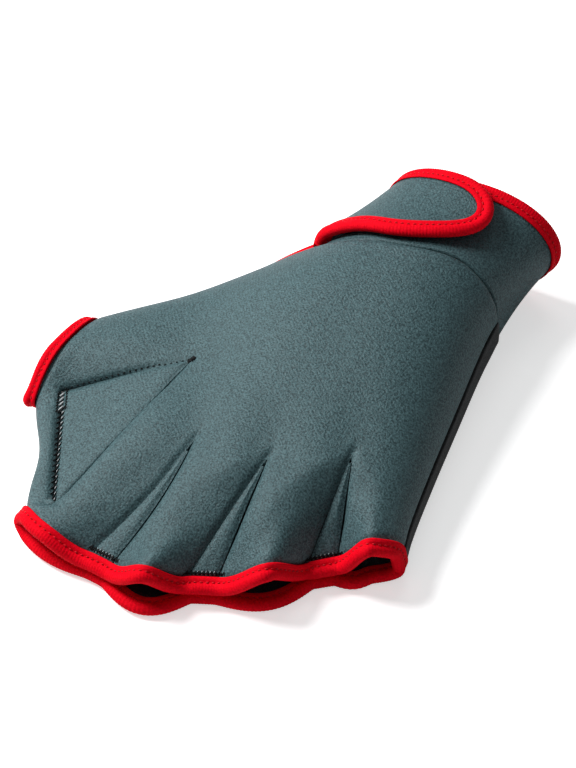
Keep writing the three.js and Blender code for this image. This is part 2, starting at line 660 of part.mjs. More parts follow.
// The pad of hooks between the tab's tip and the cuff.
function padPoint(f, q) {
  const u = mix(TAB_ROOT, TAB_TIP, mix(PAD_AREA.from, PAD_AREA.to, f));
  const narrow = Math.pow(1 - Math.pow(clamp((f - 0.7) / 0.3, 0, 1), 4), 0.25);
  const middle = (PAD_AREA.low + PAD_AREA.high) / 2;
  const y = (middle + (q - 0.5) * (PAD_AREA.high - PAD_AREA.low) * narrow) * LENGTH;
  const foot = cuffPoint(u, 0).y;
  const s = (y - foot) / (cuffPoint(u, 1).y - foot);
  return cuffPoint(u, s).addScaledVector(cuffOut(u, s), PATCH_THICK + GAP);
}
const padGrid = grid([...even(4).map((f) => 0.7 * f), 0.85, 0.95, 0.99], even(3), padPoint);

// The tab's binding: up its rim side, around the tip and back.
function tabEdge(q, steps) {
  const centre = tabPoint(0.5, TIP_ROUND, TAB_LIFT);
  return steps.map((f) => {
    const p = tabPoint(q, f, TAB_LIFT);
    const from = f > TIP_ROUND ? centre : tabPoint(0.5, f, TAB_LIFT);
    return { p, out: p.clone().sub(from).normalize() };
  });
}
const sideSteps = (from) => even(24).map((f) => mix(from, TIP_ROUND, f));
const roundSteps = tipSteps(1, 12).slice(1);
const tabBinding = [
  ...tabEdge(1, [...sideSteps(0.075), ...roundSteps]),
  ...tabEdge(0, [...sideSteps(0.1), ...roundSteps].reverse().slice(1)),
];

const rimEdge = even(60).map((f) => {
  const u = mix(CUFF_START, CUFF_END - 0.03, f);
  const p = cuffPoint(u, 1);
  return { p, out: p.clone().sub(cuffPoint(u, 0.97)).normalize() };
});

// The bound edge of the wrist opening, on the thumb side, where the tab is not sewn down.
const ventEdge = even(24).map((f) => {
  const u = mix(CUFF_START - 0.012, CUFF_END - 1 + 0.03, f);
  const { p, outward } = wristAt(u);
  const away = wristAt(u + 0.004).p.sub(wristAt(u - 0.004).p).cross(outward);
  return { p, out: away.y > 0 ? away.normalize() : away.negate().normalize() };
});

const CLOTH = { color: 0x5f7377, roughness: 0.95, metalness: 0 };
const PALM = { color: 0x1c2022, roughness: 0.9, metalness: 0 };
const RED = { color: 0xe00a1c, roughness: 0.75, metalness: 0 };
const PAD = { color: 0x101214, roughness: 1, metalness: 0 };

const pieces = [
  ["back_panel", thicken(sheet(backGrids, false), WALL), CLOTH],
  ["palm_panel", thicken(sheet(palmGrids, true), WALL), PALM],
  ["web_thumb", web(1), CLOTH],
  ["web_index_middle", web(2), CLOTH],
  ["web_middle_ring", web(3), CLOTH],
  ["web_ring_little", web(4), CLOTH],
  ["finger_binding", binding(fingerEdge, 84, true, -1), RED],
  ["thumb_binding", binding(thumbEdge, 38, true, -1, BAND * 0.8, BAND_THICK * 0.9), RED],
  ["cuff", thicken(sheet([cuffGrid], false), WALL), CLOTH],
  ["cuff_binding", binding(rimEdge, 48, false, 1), RED],
  ["strap", thicken(sheet([tabGrid], false), WALL), CLOTH],
  ["strap_binding", binding(tabBinding, 80, false, 1), RED],
  ["hook_patch", thicken(sheet([padGrid], false), PATCH_THICK), PAD],
  ["vent_binding", binding(ventEdge, 20, false, -1, BAND * 0.4, BAND_THICK * 0.8), RED],
];

const glove = new THREE.Group();
glove.name = "webbed_swim_glove";
for (const [name, geometry, look] of pieces) {
  const mesh = new THREE.Mesh(geometry, new THREE.MeshStandardMaterial(look));
  mesh.name = name;
  glove.add(mesh);
}

// Sets the glove on the floor with its middle over the origin.
const box = new THREE.Box3().setFromObject(glove);
for (const mesh of glove.children) {
  mesh.geometry.translate(-(box.min.x + box.max.x) / 2, -(box.min.y + box.max.y) / 2, -box.min.z);
}

export default glove;
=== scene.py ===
"""A webbed swim glove for the left hand, lying palm down with its fingertips towards -Y."""
from functools import partial
import math

import bpy
import numpy as np
from mathutils.bvhtree import BVHTree
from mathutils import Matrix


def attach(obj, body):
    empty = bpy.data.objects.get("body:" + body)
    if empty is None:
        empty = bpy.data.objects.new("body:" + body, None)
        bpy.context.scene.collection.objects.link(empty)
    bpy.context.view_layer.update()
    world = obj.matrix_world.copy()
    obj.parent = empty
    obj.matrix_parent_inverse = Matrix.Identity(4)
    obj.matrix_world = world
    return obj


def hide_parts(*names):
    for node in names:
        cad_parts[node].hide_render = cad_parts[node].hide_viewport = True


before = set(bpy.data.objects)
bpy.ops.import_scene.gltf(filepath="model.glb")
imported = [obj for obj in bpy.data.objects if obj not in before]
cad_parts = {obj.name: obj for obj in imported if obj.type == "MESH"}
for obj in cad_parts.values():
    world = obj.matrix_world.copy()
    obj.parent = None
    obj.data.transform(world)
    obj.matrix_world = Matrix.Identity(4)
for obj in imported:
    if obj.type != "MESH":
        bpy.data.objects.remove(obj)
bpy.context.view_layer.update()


# Camera: a long lens above the fingertips, turned to the little-finger side of the hand.
AIM = np.array([0.00145, 0.01424, 0.0])
TURN, HEIGHT_ANGLE, AWAY = math.radians(28), math.radians(50), 0.783

camera_data = bpy.data.cameras.new("camera")
camera_data.lens = 96.0
camera_data.sensor_width = 36.0
camera_data.sensor_fit = "AUTO"
camera_data.clip_start = 0.05
camera = bpy.data.objects.new("camera", camera_data)
bpy.context.collection.objects.link(camera)
toward = np.array([
    math.sin(TURN) * math.cos(HEIGHT_ANGLE),
    -math.cos(TURN) * math.cos(HEIGHT_ANGLE),
    math.sin(HEIGHT_ANGLE),
])
camera.location = AIM + toward * AWAY
camera.rotation_euler = (math.pi / 2 - HEIGHT_ANGLE, 0.0, TURN)
bpy.context.scene.camera = camera


# Studio: a white sheet on the table, a large soft light high on the thumb side, a weak one opposite.
def soft_light(name, place, aim, size, power):
    """Makes an area light at a place, turned to look at aim."""
    data = bpy.data.lights.new(name, "AREA")
    data.shape = "DISK"
    data.size = size
    data.energy = power
    lamp = bpy.data.objects.new(name, data)
    bpy.context.collection.objects.link(lamp)
    lamp.location = place
    line = np.array(aim, float) - np.array(place, float)
    flat = math.hypot(line[0], line[1])
    lamp.rotation_euler = (math.atan2(flat, -line[2]), 0.0, math.atan2(line[1], line[0]) - math.pi / 2)


soft_light("key_light", (-0.66, -0.05, 0.75), (0.0, 0.0, 0.01), 0.45, 14.8)
soft_light("top_light", (-0.15, 0.55, 0.95), (0.0, 0.0, 0.0), 0.5, 1.0)
bpy.context.scene.view_settings.view_transform = "Standard"

world = bpy.data.worlds.new("studio")
bpy.context.scene.world = world
world.use_nodes = True
world.node_tree.nodes["Background"].inputs["Color"].default_value = (0.95, 0.98, 1.0, 1.0)
world.node_tree.nodes["Background"].inputs["Strength"].default_value = 0.17


def new_finish(name, roughness, gloss):
    """A material of one roughness and gloss: itself, its node tree and its shader."""
    finish = bpy.data.materials.new(name)
    finish.use_nodes = True
    shader = finish.node_tree.nodes["Principled BSDF"]
    shader.inputs["Roughness"].default_value = roughness
    shader.inputs["Specular IOR Level"].default_value = gloss
    return finish, finish.node_tree, shader


def plain_finish(name, colour, roughness, glow):
    """A matt finish of one colour for the table, lit a little from below as a light table is."""
    finish, tree, shader = new_finish(name, roughness, 0.5)
    shader.inputs["Base Color"].default_value = (*colour, 1.0)
    shader.inputs["Emission Color"].default_value = (1.0, 1.0, 1.0, 1.0)
    seen = tree.nodes.new("ShaderNodeLightPath")
    share = tree.nodes.new("ShaderNodeMath")
    share.operation = "MULTIPLY"
    share.inputs[1].default_value = glow
    tree.links.new(seen.outputs["Is Camera Ray"], share.inputs[0])
    tree.links.new(share.outputs["Value"], shader.inputs["Emission Strength"])
    return finish


table_mesh = bpy.data.meshes.new("table")
table_mesh.from_pydata([(-4, -4, 0), (4, -4, 0), (4, 4, 0), (-4, 4, 0)], [], [(0, 1, 2, 3)])
table = bpy.data.objects.new("table", table_mesh)
bpy.context.collection.objects.link(table)
table_mesh.materials.append(plain_finish("white_sheet", (0.93, 0.93, 0.93), 0.9, 0.56))


# Back of the hand: one panel of grey neoprene, cut with four darts and curved by the seams. It is
# 2.5 mm foam with jersey on both faces, and rolls over into a hem between thumb and first finger.
LENGTH, WIDTH, HEIGHT = 0.210, 0.160, 0.050
WALL = 0.0025
GAP = 0.00035
PLACE = np.array([0.0232884, -0.0410868, 0.0])  # from the shape's own middle to the part's origin
BACK_ROUNDING = 0.26 * WIDTH
HEM_ROUNDING = 0.04 * WIDTH
HEM_WAIST, HEM_RISE = 0.022 * WIDTH, 0.03 * HEIGHT
DART, HEM = 0.6, 0.8
HEM_GAP = HEM - 0.0016

# Stations down the hand: y, edge (of WIDTH), crown, thumb, radial and ulnar heights (of HEIGHT).
HAND = np.array([
    [-0.31, 0.372, 0.38, 0.27, 0.16, 0.22],
    [-0.26, 0.370, 0.42, 0.31, 0.16, 0.22],
    [-0.17, 0.366, 0.44, 0.35, 0.16, 0.23],
    [-0.05, 0.356, 0.60, 0.40, 0.17, 0.24],
    [0.03, 0.332, 0.655, 0.45, 0.18, 0.28],
    [0.14, 0.311, 0.735, 0.51, 0.19, 0.30],
    [0.29, 0.288, 0.86, 0.61, 0.22, 0.34],
    [0.42, 0.270, 0.96, 0.68, 0.28, 0.40],
    [0.52, 0.264, 1.01, 0.74, 0.32, 0.46],
])
EDGE, CROWN, THUMB, RADIAL, ULNAR = 1, 2, 3, 4, 5

# Lines from the wrist through the head of each dart: wrist x y, head x y, left end x y z, right end
# x y z, bow.
LINES = np.array([
    [-0.316, 0.412, -0.464, 0.303, -0.600, 0.194, 0.180, -0.600, 0.194, 0.180, 0.0],
    [-0.212, 0.455, -0.306, 0.147, -0.560, 0.015, 0.260, -0.400, -0.213, 0.250, 0.0],
    [-0.090, 0.470, -0.181, -0.008, -0.268, -0.252, 0.205, -0.212, -0.254, 0.205, 0.014],
    [0.025, 0.480, -0.004, 0.006, -0.047, -0.218, 0.205, 0.012, -0.197, 0.205, 0.0],
    [0.155, 0.502, 0.159, 0.072, 0.169, -0.100, 0.215, 0.219, -0.069, 0.225, 0.0],
    [0.264, 0.497, 0.316, 0.115, 0.354, -0.012, 0.220, 0.354, -0.012, 0.220, 0.0],
])
SIZE = np.array([WIDTH, LENGTH, HEIGHT])
HEM_ENDS = np.array([[-0.612, -0.018, 0.165], [-0.468, -0.222, 0.140]])  # its outer edge, in SIZE

# The strips between the lines: swell of the edge on the back and on the palm, manner of each side,
# and how far across the finger's ridge lies.
STRIPS = [
    ("thumb", 0.0, 0.0, "dome", "round", 0.62),
    ("index", 0.026, 0.022, "round", "wave", 0.28),
    ("middle", 0.034, 0.050, "wave", "wave", 0.32),
    ("ring", 0.034, 0.036, "wave", "wave", 0.34),
    ("little", 0.014, 0.014, "wave", "dome", 0.55),
]


def ease(f):
    """Runs from 0 to 1 with no slope at either end: 3f^2 - 2f^3."""
    g = np.clip(f, 0.0, 1.0)
    return g * g * (3 - 2 * g)


def lerp(a, b, f):
    """A share f of the way from a to b."""
    return a + (b - a) * f


def along(keys, values, at):
    """Cubic Hermite curve through the rows of a table, with the slope at a row taken across it."""
    at = np.asarray(at, float)
    i = np.clip(np.searchsorted(keys, at), 1, len(keys) - 1)
    slope = np.zeros(len(keys))
    slope[1:-1] = (values[2:] - values[:-2]) / (keys[2:] - keys[:-2])
    slope[0] = (values[1] - values[0]) / (keys[1] - keys[0])
    slope[-1] = (values[-1] - values[-2]) / (keys[-1] - keys[-2])
    span = keys[i] - keys[i - 1]
    f = np.clip((at - keys[i - 1]) / span, 0, 1)
    return (
        (2 * f**3 - 3 * f**2 + 1) * values[i - 1] + (f**3 - 2 * f**2 + f) * span * slope[i - 1]
        + (3 * f**2 - 2 * f**3) * values[i] + (f**3 - f**2) * span * slope[i]
    )


def hand(column, y):
    """A column of the hand's table at a distance y down the hand."""
    return along(HAND[:, 0], HAND[:, column], y / LENGTH)


SEAM_START = LINES[0, 0:2] * SIZE[:2]
SEAM_END = LINES[0, 4:6] * SIZE[:2]
SEAM_IN = np.array([SEAM_START[1] - SEAM_END[1], SEAM_END[0] - SEAM_START[0]])
SEAM_IN = SEAM_IN / np.linalg.norm(SEAM_IN)


def rounding(f):
    """Superellipse quarter of power 2.2: steep at 0, level at 1."""
    return (1 - (1 - np.clip(f, 0, 1)) ** 2.2) ** (1 / 2.2)


# Valleys between the knuckles, one above each dart head, and the ridge of the first finger as one of
# less than no depth: middle x y, direction x y, depth, half width, run to the wrist, run to the tips.
VALLEYS = np.array([
    [-0.306, 0.147, -0.40, 0.90, 0.0042, 0.020, 0.042, 0.026],
    [-0.181, -0.008, -0.40, 0.90, 0.0018, 0.0095, 0.024, 0.014],
    [-0.004, 0.006, -0.40, 0.90, 0.0018, 0.0095, 0.024, 0.014],
    [0.159, 0.072, -0.40, 0.90, 0.0018, 0.0095, 0.024, 0.014],
    [-0.300, -0.060, 0.25, 0.97, -0.0028, 0.012, 0.034, 0.034],
])


def valley_depth(x, y):
    """Bell-shaped across each valley's line, and fading with a bell either way along it."""
    total = 0 * x
    for mx, my, dx, dy, depth, wide, upper_run, lower_run in VALLEYS:
        size = math.hypot(dx, dy)
        px, py = x - mx * WIDTH, y - my * LENGTH
        ahead = (px * dx + py * dy) / size
        aside = (px * dy - py * dx) / size
        run = np.where(ahead > 0, upper_run, lower_run)
        total = total + depth * np.exp(-(aside / wide) ** 2 - (ahead / run) ** 2)
    return total


def back_height(x, y):
    """Dome over the hand: side height, plus the rest of the crown times a rounding in from each seam,
    less the valleys between the knuckles."""
    from_thumb = (x - SEAM_START[0]) * SEAM_IN[0] + (y - SEAM_START[1]) * SEAM_IN[1]
    from_edge = hand(EDGE, y) * WIDTH - x
    lean = 0.45 * ease((-x / WIDTH - 0.05) / 0.30) + 0.55 * ease((-x / WIDTH - 0.05) / 0.56)
    top = lerp(hand(CROWN, y), hand(THUMB, y), lean) * HEIGHT
    side = lerp(hand(RADIAL, y), hand(ULNAR, y), ease(0.5 + x / WIDTH)) * HEIGHT
    dome = (top - side) * rounding(from_thumb / BACK_ROUNDING) * rounding(from_edge / BACK_ROUNDING)
    return side + dome - valley_depth(x, y)


def line_point(k, side, t):
    """Line k, straight from wrist to dart head and from there to its left or right end, with a
    quarter turn over the hem."""
    t = np.asarray(t, float)
    wx, wy, ax, ay = LINES[k, 0:4]
    ex, ey, ez = LINES[k, 4:7] if side == "left" else LINES[k, 7:10]
    f = t / DART
    y = lerp(wy, ay, f) * LENGTH
    x = hand(EDGE, y) * WIDTH if k == 5 else lerp(wx, ax, f) * WIDTH
    upper = np.stack([x, y, back_height(x, y)], axis=-1)
    stop = HEM if k == 1 else 1.0
    f = np.clip((t - DART) / (stop - DART), 0, 1)
    head_x = hand(EDGE, ay * LENGTH) if k == 5 else ax
    head_z = back_height(head_x * WIDTH, ay * LENGTH)
    y = lerp(ay, ey, f) * LENGTH
    x = lerp(head_x, ex, f) * WIDTH + LINES[k, 10] * WIDTH * np.sin(np.pi * f)
    if k == 5:
        x = hand(EDGE, y) * WIDTH
    lower = np.stack([x, y, lerp(head_z, ez * HEIGHT, f**1.2)], axis=-1)
    if k == 1:
        out = HEM_ENDS[0 if side == "left" else 1] * SIZE
        a = (math.pi / 2) * np.clip((t - HEM) / (1 - HEM), 0, 1)
        lower = np.stack([
            lerp(lower[..., 0], out[0], np.sin(a)),
            lerp(lower[..., 1], out[1], np.sin(a)),
            lerp(out[2], lower[..., 2], np.cos(a)),
        ], axis=-1)
    return np.where((t <= DART)[..., None], upper, lower)


def at_height(point, z):
    """The same points at another height."""
    return np.stack([point[..., 0], point[..., 1], z], axis=-1)


def spread(*values):
    """Parameters as arrays of one common shape."""
    return np.broadcast_arrays(*(np.asarray(value, float) for value in values))


def across_dart(k, s, t, line_at=line_point):
    """A share s of the way from the left side of dart k to its right side."""
    return lerp(line_at(k, "left", t), line_at(k, "right", t), np.asarray(s)[..., None])


def unit(v):
    """Vectors brought to length one."""
    return v / np.maximum(np.linalg.norm(v, axis=-1, keepdims=True), 1e-12)


def between(j, s, t, line_at, swell):
    """Hermite row from line j's right side to line j + 1's left, straightening past the dart heads,
    and pushed out by swell times sin(pi s) where it nears the edge."""
    a, b = line_at(j, "right", t), line_at(j + 1, "left", t)
    chord = b - a
    before = line_at(j - 1, "right", t) if j > 0 else a - chord
    after = line_at(j + 2, "left", t) if j < 4 else b + chord
    part = np.clip((t - DART) / (1 - DART), 0, 1)
    p = part[..., None]
    out = lerp((b - before) * 0.5, chord, p)
    into = lerp((after - a) * 0.5, chord, p)
    s = s[..., None]
    point = (
        a * (2 * s**3 - 3 * s**2 + 1) + out * (s**3 - 2 * s**2 + s)
        + b * (3 * s**2 - 2 * s**3) + into * (s**3 - s**2)
    )
    away = unit(np.stack([chord[..., 1], -chord[..., 0], 0 * part], axis=-1))
    return point + away * (swell * WIDTH * np.sin(math.pi * s) * p**3)


def arch(j, s, t):
    """Share of the dome's height over a finger. It rises steeply from the dart on its thumb side to a
    ridge, and runs down to the dart on its other side, and both become a wave towards the edge."""
    part = np.clip((t - DART) / (1 - DART), 0, 1)
    soft = ease((part - 0.55) / 0.45)
    spread = ease(part / 0.5)
    ridge = STRIPS[j][5]
    near = np.clip(s / lerp(0.08, ridge, spread), 0, 1)
    far = np.clip((1 - s) / lerp(0.20, 1.12 - ridge, spread), 0, 1)
    total = np.ones_like(part + s)
    if STRIPS[j][3] == "round":
        total = total * (1 - (1 - near) ** 2.0) ** 0.8
    if STRIPS[j][4] == "round":
        total = total * (1 - (1 - far) ** 2.0) ** 0.8
    if STRIPS[j][3] == "wave":
        total = total * lerp((1 - (1 - near) ** 2.0) ** 0.8, ease(s / 0.5), soft)
    if STRIPS[j][4] == "wave":
        total = total * lerp(1 - (1 - far) ** 1.7, ease((1 - s) / 0.5), soft)
    return total


def back_point(j, s, t):
    """Point of the back over strip j: the row's place in plan, lifted to the dome times the arch."""
    s, t = spread(s, t)
    point = between(j, s, t, line_point, STRIPS[j][1])
    top = back_height(point[..., 0], point[..., 1])
    base = lerp(line_point(j, "right", t)[..., 2], line_point(j + 1, "left", t)[..., 2], s)
    z = np.where(t <= DART, top, base + (top - base) * arch(j, s, t))
    return at_height(point, z)


def hem_under(distance, height):
    """Height of the hem's underside a distance in from its outer edge: a quarter round."""
    f = np.clip(1 - distance / HEM_ROUNDING, 0, 1)
    return height * (1 - np.sqrt(1 - f * f))


def hem_point(across, w):
    """The rolled hem: 0 to 1 from the web over the top, 1 to 2 back underneath, waisted at mid length."""
    across, w = spread(across, w)
    t = HEM + (1 - HEM) * np.minimum(across, 1)
    top, inner, outer = [across_dart(1, w, down) for down in (t, HEM + 0 * t, 1 + 0 * t)]
    inward = unit((inner - outer) * np.array([1, 1, 0]))
    waist = (HEM_WAIST * np.sin(math.pi * w) ** 2)[..., None]
    outer = outer + inward * waist
    top = top + inward * waist * np.sin((math.pi / 2) * np.minimum(across, 1))[..., None]
    rise = HEM_RISE * np.sin(math.pi * np.minimum(across, 1)) * ease(np.sin(math.pi * w) * 2)
    top = top + rise[..., None] * np.array([0, 0, 1])
    back = lerp(outer, inner, (np.maximum(across - 1, 0) ** 1.6)[..., None])
    far = np.hypot(*np.moveaxis((back - outer)[..., :2], -1, 0))
    back = at_height(back, hem_under(far, outer[..., 2]))
    return np.where((across <= 1)[..., None], top, back)


def patch(firsts, seconds, point_at):
    """A grid of points over two lists of parameters."""
    return point_at(np.asarray(firsts, float)[:, None], np.asarray(seconds, float)[None, :])


def grid_quads(n):
    """Quads between the neighbouring rows and columns of a grid of point numbers."""
    return np.stack([n[:-1, :-1], n[1:, :-1], n[1:, 1:], n[:-1, 1:]], axis=-1).reshape(-1, 4)


def sewn(patches, flip=False):
    """Joins grids at the points they share: returns points and quads as whole arrays."""
    flat = np.concatenate([p.reshape(-1, 3) for p in patches])
    keys = np.round(flat * 2e6).astype(np.int64)
    _, first, place = np.unique(keys, axis=0, return_index=True, return_inverse=True)
    place = place.reshape(-1)
    quads, start = [], 0
    for p in patches:
        rows, columns = p.shape[:2]
        quads.append(grid_quads(np.arange(start, start + rows * columns).reshape(rows, columns)))
        start += rows * columns
    quads = place[np.concatenate(quads)]
    if flip:
        quads = quads[:, ::-1]
    kept = (quads[:, 0] != quads[:, 2]) & (quads[:, 1] != quads[:, 3])
    return flat[first], quads[kept]


def outward(points, quads):
    """Smooth outward direction at every point: the sum of the crossed diagonals around it."""
    normal = np.cross(points[quads[:, 2]] - points[quads[:, 0]], points[quads[:, 3]] - points[quads[:, 1]])
    total = np.zeros_like(points)
    for c in range(4):
        np.add.at(total, quads[:, c], normal)
    return unit(total)


def quad_sides(quads):
    """The sides of all quads as pairs of points in running order, less those of no length."""
    pairs = np.concatenate([quads[:, [a, (a + 1) % 4]] for a in range(4)])
    return pairs[pairs[:, 0] != pairs[:, 1]]


def neighbours(quads):
    """Each pair of neighbouring points once, and how many quads share it: one along an open edge."""
    return np.unique(np.sort(quad_sides(quads), axis=1), axis=0, return_counts=True)


def relaxed(points, quads, times, strength=0.5):
    """Moves each point part of the way to the mean of its neighbours, and holds the sheet's edges.
    Strength may be one share or a share for each point."""
    ordered, count = neighbours(quads)
    held = np.zeros(len(points), bool)
    held[ordered[count == 1].reshape(-1)] = True
    both = np.concatenate([ordered, ordered[:, ::-1]])
    degree = np.bincount(both[:, 0], minlength=len(points))[:, None]
    now = points.copy()
    for _ in range(times):
        total = np.zeros_like(now)
        np.add.at(total, both[:, 0], now[both[:, 1]])
        mean = total / np.maximum(degree, 1)
        now = np.where(held[:, None], now, now + (mean - now) * strength)
    return now


def rolled(points, quads, reach, drop, edge=None):
    """Turns a sheet's sewn edges in: each point sinks by drop times a bell of its distance to the
    nearest point of an edge, or of all the sheet's edges, more downwards than to the side. The
    distances are worked out for a few hundred points at a time."""
    if edge is None:
        ordered, count = neighbours(quads)
        edge = points[np.unique(ordered[count == 1])]
    squares = [
        ((part[:, None] - edge[None]) ** 2).sum(axis=2).min(axis=1)
        for part in np.array_split(points, len(points) // 500 + 1)
    ]
    sink = drop * np.exp(-np.concatenate(squares) / reach**2)
    inwards = unit(outward(points, quads) * np.array([0.3, 0.3, 1.0]))
    return points - inwards * sink[:, None]


def with_wall(points, quads, wall):
    """Gives a sheet its thickness on the inside and closes its edges with a strip of quads."""
    normal = outward(points, quads)
    count = len(points)
    every = np.concatenate([points, points - normal * wall])
    pairs = quad_sides(quads)
    code = pairs[:, 0].astype(np.int64) * count + pairs[:, 1]
    other = pairs[:, 1].astype(np.int64) * count + pairs[:, 0]
    rim = pairs[~np.isin(code, other)]
    sides = np.stack([rim[:, 0], rim[:, 0] + count, rim[:, 1] + count, rim[:, 1]], axis=-1)
    return every, np.concatenate([quads, quads[:, ::-1] + count, sides])


def make_piece(name, points, quads, finish, slot, nodes, extra=None):
    """Puts points and quads into a smooth mesh, and fixes it to the body in place of its CAD nodes.
    Extra holds two numbers a point for a pattern that follows the surface."""
    mesh = bpy.data.meshes.new(name)
    faces = [tuple(dict.fromkeys(q)) for q in quads.tolist()]
    mesh.from_pydata((points + PLACE).tolist(), [], faces)
    mesh.shade_smooth()
    if extra is not None:
        layer = mesh.uv_layers.new(name="path")
        corner = np.zeros(len(mesh.loops), np.int32)
        mesh.loops.foreach_get("vertex_index", corner)
        layer.uv.foreach_set("vector", extra[corner].astype(np.float32).reshape(-1))
    mesh.materials.append(finish)
    piece = bpy.data.objects.new(name, mesh)
    bpy.context.collection.objects.link(piece)
    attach(piece, "root")
    if nodes:
        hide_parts(*nodes)
    return piece


def add_node(tree, kind, **inputs):
    """A node of a finish, with each named input set to a number or joined to another node's output."""
    made = tree.nodes.new(kind)
    for label, value in inputs.items():
        if isinstance(value, float):
            made.inputs[label].default_value = value
        else:
            tree.links.new(value, made.inputs[label])
    return made


def piece_space(tree):
    """The piece's own space, in which its patterns lie."""
    return tree.nodes.new("ShaderNodeTexCoord").outputs["Object"]


def grain_of(tree, **manner):
    """A fine cloudy grain in the piece's own space."""
    return add_node(tree, "ShaderNodeTexNoise", Vector=piece_space(tree), **manner).outputs["Fac"]


def rows_of(tree, direction, **manner):
    """Even rows that run across one direction of a space or a surface."""
    rows = add_node(tree, "ShaderNodeTexWave", **manner)
    rows.bands_direction = direction
    return rows.outputs["Fac"]


def added(tree, first, share, second):
    """A share of one pattern on top of another."""
    total = tree.nodes.new("ShaderNodeMath")
    total.operation = "MULTIPLY_ADD"
    total.inputs[1].default_value = share
    tree.links.new(first, total.inputs[0])
    tree.links.new(second, total.inputs[2])
    return total.outputs["Value"]


def coloured(tree, shader, pattern, dark, light, low=0.0, high=1.0):
    """Colours a finish from dark to light as a pattern goes from its low level to its high one."""
    ramp = add_node(tree, "ShaderNodeValToRGB", Fac=pattern)
    for stop, level, colour in zip(ramp.color_ramp.elements, (low, high), (dark, light)):
        stop.position = level
        stop.color = (*colour, 1.0)
    tree.links.new(ramp.outputs["Color"], shader.inputs["Base Color"])


def raised(tree, shader, pattern, strength, distance):
    """Gives a finish the relief of a pattern."""
    bump = add_node(tree, "ShaderNodeBump", Strength=strength, Distance=distance, Height=pattern)
    tree.links.new(bump.outputs["Normal"], shader.inputs["Normal"])


def neoprene_finish(name, dark, light, grain):
    """Jersey on foam: fine pitted grain in colour and bump, faint diagonal knit, soft sheen."""
    finish, tree, shader = new_finish(name, 0.52, 0.34)
    shader.inputs["Sheen Weight"].default_value = 0.02
    shader.inputs["Sheen Roughness"].default_value = 0.4
    pits = grain_of(tree, Scale=grain, Detail=3.0, Roughness=0.6)
    coloured(tree, shader, pits, dark, light, 0.36, 0.64)
    knit = rows_of(tree, "DIAGONAL", Vector=piece_space(tree), Scale=330.0, Distortion=1.2)
    raised(tree, shader, added(tree, knit, 0.10, pits), 0.7, 0.0006)
    return finish


grey_neoprene = neoprene_finish("grey_neoprene", (0.013, 0.035, 0.040), (0.071, 0.139, 0.152), 1500.0)

CROWDED = (1 - np.cos(np.linspace(0, 1, 41) * math.pi)) / 2
DOWN = np.concatenate([np.linspace(0, HEM_GAP, 90), np.linspace(HEM, 1, 34)])
UNDER = np.linspace(1, 1.985, 20)[1:]
back_patches = [patch(DOWN, CROWDED, lambda t, s, j=j: back_point(j, s, t)) for j in range(5)]
back_patches.append(patch(
    np.concatenate([np.linspace(0, 1, 34), UNDER]), np.linspace(0, 1, 60), hem_point,
))
back_sheet = sewn(back_patches)

# The foam pulls smooth where three seams meet at the hem's corners.
CORNER_REACH = 0.012
hem_corners = [line_point(1, "left", 1.0), line_point(1, "right", 1.0), line_point(1, "right", HEM)]
near_corner = np.maximum.reduce([
    np.exp(-(np.linalg.norm(back_sheet[0] - corner, axis=1) / CORNER_REACH) ** 2)[:, None]
    for corner in hem_corners
])
back_points = relaxed(*back_sheet, times=6)
back_points = relaxed(back_points, back_sheet[1], times=120, strength=0.5 * near_corner)

# All sewn edges turn in. The wrist edge first swells where it laps over the cuff.
SEAM_REACH, SEAM_DROP = 0.0015, 0.0010
LAP_REACH, LAP_SWELL = 0.0042, 0.0008
LAP_EDGE_REACH, LAP_EDGE_DROP = 0.0012, 0.0013
wrist_edge = np.concatenate([back_point(j, CROWDED, 0.0) for j in range(5)])
back_points = rolled(back_points, back_sheet[1], LAP_REACH, -LAP_SWELL, wrist_edge)
back_points = rolled(back_points, back_sheet[1], SEAM_REACH, SEAM_DROP)
back_points = rolled(back_points, back_sheet[1], LAP_EDGE_REACH, LAP_EDGE_DROP, wrist_edge)
back_wall = with_wall(back_points, back_sheet[1], WALL)
back_panel = make_piece("back_of_hand", *back_wall, grey_neoprene, "grey_neoprene", ["back_panel"])


# Webs: four flat gussets of the same neoprene, one in each dart. They are cut a hair narrower than the
# darts and sewn into them edge to edge, and their edges turn in as the back's do.
SEAM_GAP, WEB_DROP = 0.00006, 0.0007


def web_point(k, s, t):
    """A flat web between the sides of dart k, a gap inside both of its seams."""
    s, t = spread(s, t)
    left, right = line_point(k, "left", t), line_point(k, "right", t)
    width = np.linalg.norm(right - left, axis=-1)
    inset = np.clip(SEAM_GAP / np.maximum(width, 1e-9), 0, 0.45)
    share = lerp(inset, 1 - inset, s)[..., None]
    return lerp(left, right, share)


# Dart, name, and the web's cut: width, length and area.
WEBS = [
    (1, "web_thumb", 0.042, 0.072, 0.00143),
    (2, "web_index_middle", 0.014, 0.054, 0.00034),
    (3, "web_middle_ring", 0.014, 0.052, 0.00033),
    (4, "web_ring_little", 0.014, 0.042, 0.00027),
]
web_sheets = []
for k, name, cut_wide, cut_long, cut_area in WEBS:
    last = HEM_GAP if k == 1 else 1.0
    ends = line_point(k, "left", last), line_point(k, "right", last)
    first = lerp(DART, last, 3 * GAP / np.linalg.norm(ends[1] - ends[0]))
    rows = first + (last - first) * (1 - np.cos(np.linspace(0, 1, 50) * math.pi / 2))
    web_patch = patch(rows, np.linspace(0, 1, 24), lambda t, s, k=k: web_point(k, s, t))
    web_points, web_quads = sewn([web_patch])
    web_points = rolled(web_points, web_quads, SEAM_REACH, WEB_DROP)
    web_sheets.append((web_points, web_quads))
    web = make_piece(
        name + "_cloth", *with_wall(web_points, web_quads, WALL), grey_neoprene, "grey_neoprene", [name],
    )


